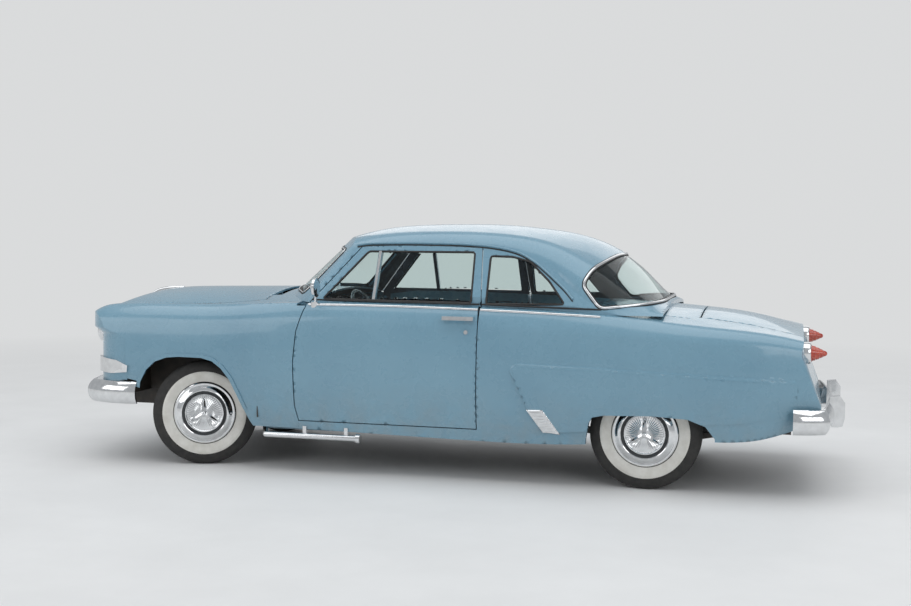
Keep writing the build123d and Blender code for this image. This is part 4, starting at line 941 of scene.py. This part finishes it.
# Tyres: cross-ply rubber covers with a broad white side, moulded with four zigzag grooves and
# cut shoulders, and mounted with tubes on the rims.
TYRE_SIDE = [
    (59, 194), (62, 200), (66, 205), (69.5, 207), (75, 222), (80, 236), (84, 252), (85.5, 262), (84.5, 271),
    (82.5, 274.5), (81.5, 288), (79, 303), (74, 317), (68, 328), (62, 335), (57, 339.5),
]
tread = [(y, 341.6 - 1.5 * (y / 56) ** 2) for y in np.linspace(53, -53, 39)]
TYRE_PROFILE = TYRE_SIDE + tread + [(-y, r) for y, r in TYRE_SIDE[::-1]] + [(-50, 200), (50, 200)]
white_slots = np.array([i < len(TYRE_SIDE) - 1 and 206 <= r < 272 for i, (_, r) in enumerate(TYRE_PROFILE)])


def tread_wave(a, out, radius):
    """Zigzag grooves and shoulder cuts of the tread."""
    turn = a * 60 / math.pi
    zigzag = 3.0 * (np.abs((turn / 2) % 2 - 1) * 2 - 1)
    depth = np.zeros_like(out)
    on_tread = (np.abs(out) < 54) & (radius > 330)
    for centre in (-34, -12, 12, 34):
        depth = np.maximum(depth, 7.0 * np.clip(1.6 - np.abs(out - centre - zigzag) / 2.0, 0, 1))
    shoulder = (np.abs(out) > 42) & ((np.round(turn) % 3) == 0)
    depth = np.where(shoulder, np.maximum(depth, 5.0), depth)
    return out, radius - np.where(on_tread, depth, 0.0)


tyre_rubber = mottled("tyre_rubber_worn", (0.014, 0.014, 0.014), (0.04, 0.038, 0.036), 30.0, 0.62, grain=0.2,
                      rough_span=0.2)
whitewall = mottled("whitewall", (0.60, 0.585, 0.54), (0.74, 0.73, 0.69), 14.0, 0.5, grain=0.05)
WHITEWALL_TYRE = ([tyre_rubber, whitewall], "tyre_rubber")
for corner in CORNERS:
    made = revolved("tyre_shell_" + corner, TYRE_PROFILE, 240, at_corner(corner), WHITEWALL_TYRE,
                    "wheel_" + corner, 30.0, tread_wave, white_slots)
    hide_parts("tyre_" + corner)

# Wheels: pressed steel rims behind full covers of bright stainless steel, which snap on. Each
# cover has a rolled outer ring, a groove coloured near black as painted shade, a stepped ring
# and a fluted dish, and carries a three-armed pointed bar.
COVER_FACE = [
    (60, 187), (62, 199), (68, 203.5), (74, 202), (78, 197), (79, 190), (77, 184), (80, 178), (86, 170),
    (92, 160), (95, 152), (93, 147), (89, 144), (87, 138), (88, 132), (92, 128.5), (97, 127), (101, 124),
    (102, 119), (99, 116), (96.5, 112), (97, 104), (98.5, 92), (100.5, 78), (103, 60), (106, 40), (109, 20),
    (110, 1.5),
]
COVER_PROFILE = COVER_FACE + [(out - 5.0, max(radius - 1.5, 1.0)) for out, radius in COVER_FACE[::-1]]
# Painted shade: the faces of the groove in each cover are coloured near black, standing in for the shade and
# dark reflections in the recess.
groove_shade_slots = np.array([i < len(COVER_FACE) and 131 < r < 146 for i, (_, r) in enumerate(COVER_PROFILE)])
groove_painted_shade = mottled("cover_groove", (0.02, 0.022, 0.025), (0.05, 0.055, 0.06), 30.0, 0.4)
CHROME_AND_GROOVE_SHADE = ([chrome, groove_painted_shade], "bright_metal")
BOSS_PROFILE = [(100, 17), (117, 16), (122, 12), (124.5, 6), (125, 0.8), (100, 0.8)]
BLADE_RINGS = 16
BLADE_LENGTH = 122.0
COVER_SEAT = 59.5


def flutes(a, out, radius):
    """Radial flutes of the dish."""
    deep = np.clip((radius - 30) / 20, 0, 1) * np.clip((113 - radius) / 6, 0, 1)
    return out + 1.5 * np.cos(a * 48) * deep, radius


run = np.linspace(0, 1, BLADE_RINGS)
blade_rings = []
for r, w, h in zip(run * BLADE_LENGTH, 1.5 + 19.0 * (1 - run) ** 0.8, 122.0 - 14.0 * run):
    section = ((-w, 16), (-w * 0.8, 8), (0, 0), (w * 0.8, 8), (w, 16))
    blade_rings.append([(r, h - drop, wide) for wide, drop in section])
across, out, up = np.moveaxis(np.array(blade_rings), -1, 0)
for corner in CORNERS:
    place = at_corner(corner)
    body = "wheel_" + corner
    hub = place([0.0, 0.0, 0.0])
    axis = place([0.0, 1.0, 0.0]) - hub
    smoothed(body, lambda m, hub=hub, axis=axis: np.sum((m - hub) * axis, axis=1) < COVER_SEAT)
    revolved("wheel_cover_" + corner, COVER_PROFILE, 192, place, CHROME_AND_GROOVE_SHADE, body, 30.0, flutes,
             groove_shade_slots)
    for blade in range(3):
        a = math.radians(120 * blade + 90)
        spun = np.stack([across * math.cos(a) - up * math.sin(a), out,
                         across * math.sin(a) + up * math.cos(a)], -1)
        solid_piece("cover_blade_%s_%d" % (corner, blade), place(spun).reshape(-1, 3),
                    ring_faces(BLADE_RINGS, 5, False), CHROME, body, 20.0)
    revolved("cover_boss_" + corner, BOSS_PROFILE, 48, place, CHROME, body)

# Headlamps: on each side a painted steel bucket, let into the fender, a rolled bright ring that
# clips over it, and a glass lens, domed and finely ribbed.
LAMP_X = 2230.0
RING_PROFILE = [(-40, 80), (2, 83.4), (12, 83), (20, 80), (24, 75.5), (22, 71), (16, 69), (6, 68), (-40, 68)]
LENS_PROFILE = [(8, 69), (16, 68.5), (21, 62), (26, 50), (29.5, 34), (31, 17), (31.5, 0.8), (6, 0.8)]
BUCKET_PROFILE = [(-108, 40), (-104, 60), (-60, 79), (-20, 83), (-20, 70), (-96, 30)]
clear_lens, tree, shader = node_material("clear_lens", (0.80, 0.83, 0.84), 0.08, 0.0, 1.0)
fill(tree, shader, {"Roughness": ramp(tree, noise(tree, 80.0, 2.0), 0.3, 0.7, 0.05, 0.2)})
turned = fill(tree, tree.nodes.new("ShaderNodeMapping"), {
    "Rotation": (0, 0, math.pi / 2), "Vector": own_place(tree)})
waves = fill(tree, tree.nodes.new("ShaderNodeTexWave"), {"Scale": 28.0, "Vector": turned.outputs[0]})
bump(tree, shader, waves.outputs[1], 0.35, 0.002)


def facing(x, y, z, sign):
    """Place of a lamp's own measures: across, out of the car's end, and up."""
    def place(local):
        p = np.asarray(local, float)
        return np.stack([x + sign * p[..., 1], y + p[..., 0], z + p[..., 2]], -1)

    return place


for side, y in (("left", 650.0), ("right", -650.0)):
    place = facing(LAMP_X, y, 862.0, 1)
    made = revolved("lamp_ring_" + side, RING_PROFILE, 72, place, CHROME, "car_body")
    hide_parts("headlamps")
    revolved("lamp_lens_" + side, LENS_PROFILE, 72, place, (clear_lens, "lamp_glass"), "car_body", 60.0)
    revolved("lamp_bucket_" + side, BUCKET_PROFILE, 48, place, (inner_paint, "body_paint"), "car_body")

# Tail lamps: on each side a plated ring, screwed to the hooded end of the quarter, which holds
# a stepped cone moulded in amber-red plastic.
TAIL_RING_PROFILE = [(-45, 51), (-12, 61), (-12, 64), (6, 66), (24, 66), (34, 64.5), (40, 61), (42, 56),
                     (38, 53), (20, 52), (-45, 40)]
CONE_PROFILE = [(20, 52), (38, 52.5), (46, 51), (48, 47), (66, 43), (69, 39), (88, 34), (91, 30), (108, 24),
                (111, 20), (126, 15), (133, 9), (135.5, 1.0), (20, 1.0)]
red_lens, tree, shader = node_material("red_lens", (0.50, 0.04, 0.015), 0.12, 0.0, 1.0)
cloud = ramp(tree, noise(tree, 60.0, 2.0), 0.3, 0.7, 0.0, 1.0)
fill(tree, shader, {"Base Color": mix(tree, cloud, (0.36, 0.02, 0.008), (0.55, 0.06, 0.015))})
for side, y in (("left", 690.0), ("right", -690.0)):
    place = facing(-2392.0, y, 861.0, -1)
    made = revolved("tail_ring_" + side, TAIL_RING_PROFILE, 72, place, CHROME, "car_body")
    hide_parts("tail_lamps")
    revolved("tail_lens_" + side, CONE_PROFILE, 72, place, (red_lens, "red_lens"), "car_body", 24.0)

# Steering wheel: a thin rim and two sprung spokes, moulded in plastic over steel, with a bright
# horn ring and a hub button, on a column that runs down to the floor.
COLUMN_TILT = math.radians(28.0)
COLUMN_TOP = np.array([430.0, 370.0, 960.0])


def on_column(local):
    """Measures across, out along the column towards the driver, and up the wheel's face."""
    p = np.asarray(local, float)
    back = np.array([-math.cos(COLUMN_TILT), 0, math.sin(COLUMN_TILT)])
    upward = np.array([math.sin(COLUMN_TILT), 0, math.cos(COLUMN_TILT)])
    return COLUMN_TOP + p[..., 1:2] * back + p[..., 2:3] * upward + p[..., 0:1] * np.array([0.0, 1.0, 0.0])


wheel_plastic = mottled("steering_plastic", (0.16, 0.20, 0.23), (0.24, 0.29, 0.32), 9.0, 0.25, coat=0.4)
PLASTIC = (wheel_plastic, "dark_plastic")
HUB_PROFILE = [(-14, 30), (8, 44), (16, 42), (22, 34), (25, 18), (26, 0.8), (-14, 0.8)]
BUTTON_PROFILE = [(24, 25), (29, 24), (32, 15), (33, 0.8), (24, 0.8)]
COLUMN_PROFILE = [(-698, 19.5), (-30, 19.5), (-12, 26), (-12, 0.8), (-698, 0.8)]


def round_section(out, radius, width, height, count):
    """Oval section of a ring at a radius."""
    turns = np.linspace(0, 2 * math.pi, count + 1)[:-1]
    return [(out + width * math.sin(t), radius + height * math.cos(t)) for t in turns]


def finger_grips(a, out, radius):
    """Waves along the inner side of the rim."""
    return out, radius + np.where(radius < 215, 1.6 * np.cos(a * 36), 0)


made = revolved("steering_rim", round_section(0, 215, 11, 11.5, 14), 144, on_column, PLASTIC,
                "steering_wheel", 60.0, finger_grips)
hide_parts("steering_wheel")
revolved("horn_ring", round_section(8, 128, 3.5, 3.5, 10), 96, on_column, CHROME, "steering_wheel", 60.0)
revolved("steering_hub", HUB_PROFILE, 64, on_column, PLASTIC, "steering_wheel")
revolved("horn_button", BUTTON_PROFILE, 48, on_column, CHROME, "steering_wheel")
revolved("steering_column", COLUMN_PROFILE, 40, on_column, PLASTIC, "steering_wheel")
for side, sign in (("right", -1), ("left", 1)):
    run = np.linspace(0, 1, 14)[:, None]
    path = on_column(np.concatenate([sign * (30 + 180 * run), 6 - 8 * np.sin(run * math.pi), -6 * run], 1))
    normals = np.tile(on_column(np.array([[0.0, 1.0, 0.0]])) - COLUMN_TOP, (14, 1))
    strip("steering_spoke_" + side, path, normals, half_round(24, 5, foot=4), PLASTIC, "steering_wheel")

# Seats: sprung benches in pleated blue cloth with smooth bolsters, on a low painted frame. Each
# pad is sewn slack and swells under its stuffing.
SEAT_PARTS = [
    # name, node, half width, side profile in X and Z
    ("front_cushion", "front_seat", 622,
     [(-175, 450), (225, 455), (258, 520), (262, 600), (232, 640), (-140, 612)]),
    ("front_back", "front_seat", 622,
     [(-172, 625), (-262, 985), (-285, 1000), (-318, 995), (-345, 955), (-285, 570), (-200, 560)]),
    ("rear_cushion", "rear_seat", 572,
     [(-935, 450), (-655, 452), (-622, 520), (-618, 600), (-650, 656), (-975, 628)]),
    ("rear_back", "rear_seat", 572,
     [(-1010, 652), (-1092, 985), (-1106, 998), (-1116, 985), (-1116, 580), (-1030, 570)]),
]
SLACK = 0.93
EDGE_ROUND = 0.022
WEAVE = 0.014
SWELL_STEPS = 20
SWELL_LIMIT = 0.016
PLEAT_PITCH = 66
PLEAT_DEPTH = 0.0065
PLEAT_HALF_WIDTH = 7.5
PLEATS_END = 70
BOLSTER_WIDTH = 66
seat_cloth = mottled("seat_cloth", (0.04, 0.062, 0.095), (0.085, 0.12, 0.165), 170.0, 0.85, grain=0.35)
seat_vinyl = mottled("seat_vinyl", (0.07, 0.105, 0.14), (0.10, 0.145, 0.185), 24.0, 0.45, grain=0.15)


def worked_in(made):
    """Mesh of an object with its modifiers worked in; the object takes it over."""
    graph = bpy.context.evaluated_depsgraph_get()
    made_mesh = bpy.data.meshes.new_from_object(made.evaluated_get(graph))
    made.modifiers.clear()
    made.data = made_mesh
    return made_mesh


for label, node, half, outline in SEAT_PARTS:
    profile = np.array(outline, float)
    middle = profile.mean(0)
    profile = middle + (profile - middle) * SLACK
    count = len(profile)
    points = [(x, y, z) for y in (14 - half, half - 14) for x, z in profile]
    faces = [list(range(count)), list(range(2 * count - 1, count - 1, -1))]
    faces += [[i, (i + 1) % count, (i + 1) % count + count, i + count] for i in range(count)]
    mesh = bpy.data.meshes.new("seat_" + label)
    mesh.from_pydata(metres(points).tolist(), [], faces)
    work = bmesh.new()
    work.from_mesh(mesh)
    bmesh.ops.recalc_face_normals(work, faces=work.faces)
    bmesh.ops.bevel(work, geom=list(work.edges), offset=EDGE_ROUND, segments=3, affect="EDGES", profile=0.5)
    work.to_mesh(mesh)
    work.free()
    made = linked("seat_" + label, mesh, [seat_cloth, seat_vinyl])
    remesh = made.modifiers.new("remesh", "REMESH")
    remesh.mode = "VOXEL"
    remesh.voxel_size = WEAVE
    mesh = worked_in(made)
    before = layer(mesh.vertices, "co")
    after = before
    cloth = made.modifiers.new("cloth", "CLOTH")
    cloth.settings.use_pressure = True
    cloth.settings.uniform_pressure_force = 4.0
    cloth.settings.effector_weights.gravity = 0.0
    for step in range(1, SWELL_STEPS + 1):
        scene.frame_set(step)
    graph = bpy.context.evaluated_depsgraph_get()
    swollen = made.evaluated_get(graph).data
    after = layer(swollen.vertices, "co")
    made.modifiers.clear()
    scene.frame_set(1)
    move = after - before
    far = np.linalg.norm(move, axis=1, keepdims=True)
    after = before + move * np.minimum(1.0, SWELL_LIMIT / np.maximum(far, 1e-9))
    mesh.vertices.foreach_set("co", after.ravel())
    subdivide = made.modifiers.new("subdivide", "SUBSURF")
    subdivide.levels = subdivide.render_levels = 1
    mesh = worked_in(made)
    co = layer(mesh.vertices, "co")
    normal = layer(mesh.vertex_normals, "vector")
    off_seam = np.abs(((co[:, 1] * 1000 + PLEAT_PITCH / 2) % PLEAT_PITCH) - PLEAT_PITCH / 2)
    inner = np.clip((half - PLEATS_END - np.abs(co[:, 1] * 1000)) / 12, 0, 1)
    facing_up = np.clip(normal[:, 0] * 1.2 + normal[:, 2] * 1.2 - 0.45, 0, 1)
    seam = PLEAT_DEPTH * np.exp(-(off_seam / PLEAT_HALF_WIDTH) ** 2) * inner * np.minimum(facing_up * 3, 1)
    mesh.vertices.foreach_set("co", (co - normal * seam[:, None]).ravel())
    bolster = np.abs(layer(mesh.polygons, "center")[:, 1]) * 1000 > half - BOLSTER_WIDTH
    mesh.polygons.foreach_set("material_index", bolster.astype(np.int32))
    smooth(mesh)
    mesh.materials.clear()
    mesh.materials.append(seat_cloth)
    mesh.materials.append(seat_vinyl)
    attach(made, "car_body")
    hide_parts(node)

# Finishes of the CAD nodes: blacked chassis, iron engine, scaled exhaust pipes, painted floor and
# enamelled dashboard are carried over as built; the other slots repeat the finishes above.
FINISH = {
    "body_paint": paint, "window_glass": glass, "tyre_rubber": rubber, "bright_metal": chrome,
    "lamp_glass": clear_lens, "red_lens": red_lens, "dark_plastic": wheel_plastic, "seat_cloth": seat_cloth,
    "chassis_black": mottled("chassis_black", (0.018, 0.018, 0.018), (0.075, 0.062, 0.05), 9.0, 0.5,
                             grain=0.15),
    "engine_iron": mottled("engine_iron", (0.05, 0.055, 0.06), (0.13, 0.14, 0.15), 14.0, 0.5, 0.3,
                           grain=0.25),
    "exhaust_steel": mottled("exhaust_steel", (0.16, 0.10, 0.06), (0.34, 0.30, 0.26), 12.0, 0.5, 0.7,
                             grain=0.15),
    "floor_paint": mottled("floor_paint", (0.035, 0.04, 0.045), (0.09, 0.095, 0.10), 10.0, 0.65, grain=0.1),
    "dash_paint": mottled("dash_enamel", (0.10, 0.18, 0.24), (0.15, 0.25, 0.32), 4.0, 0.3, coat=0.4),
}
slot_of = {entry["node"]: entry["material_slot"] for entry in frame["record"]["subparts"]}
for name, node in nodes.items():
    for item in node.material_slots:
        item.material = FINISH[slot_of[name]]
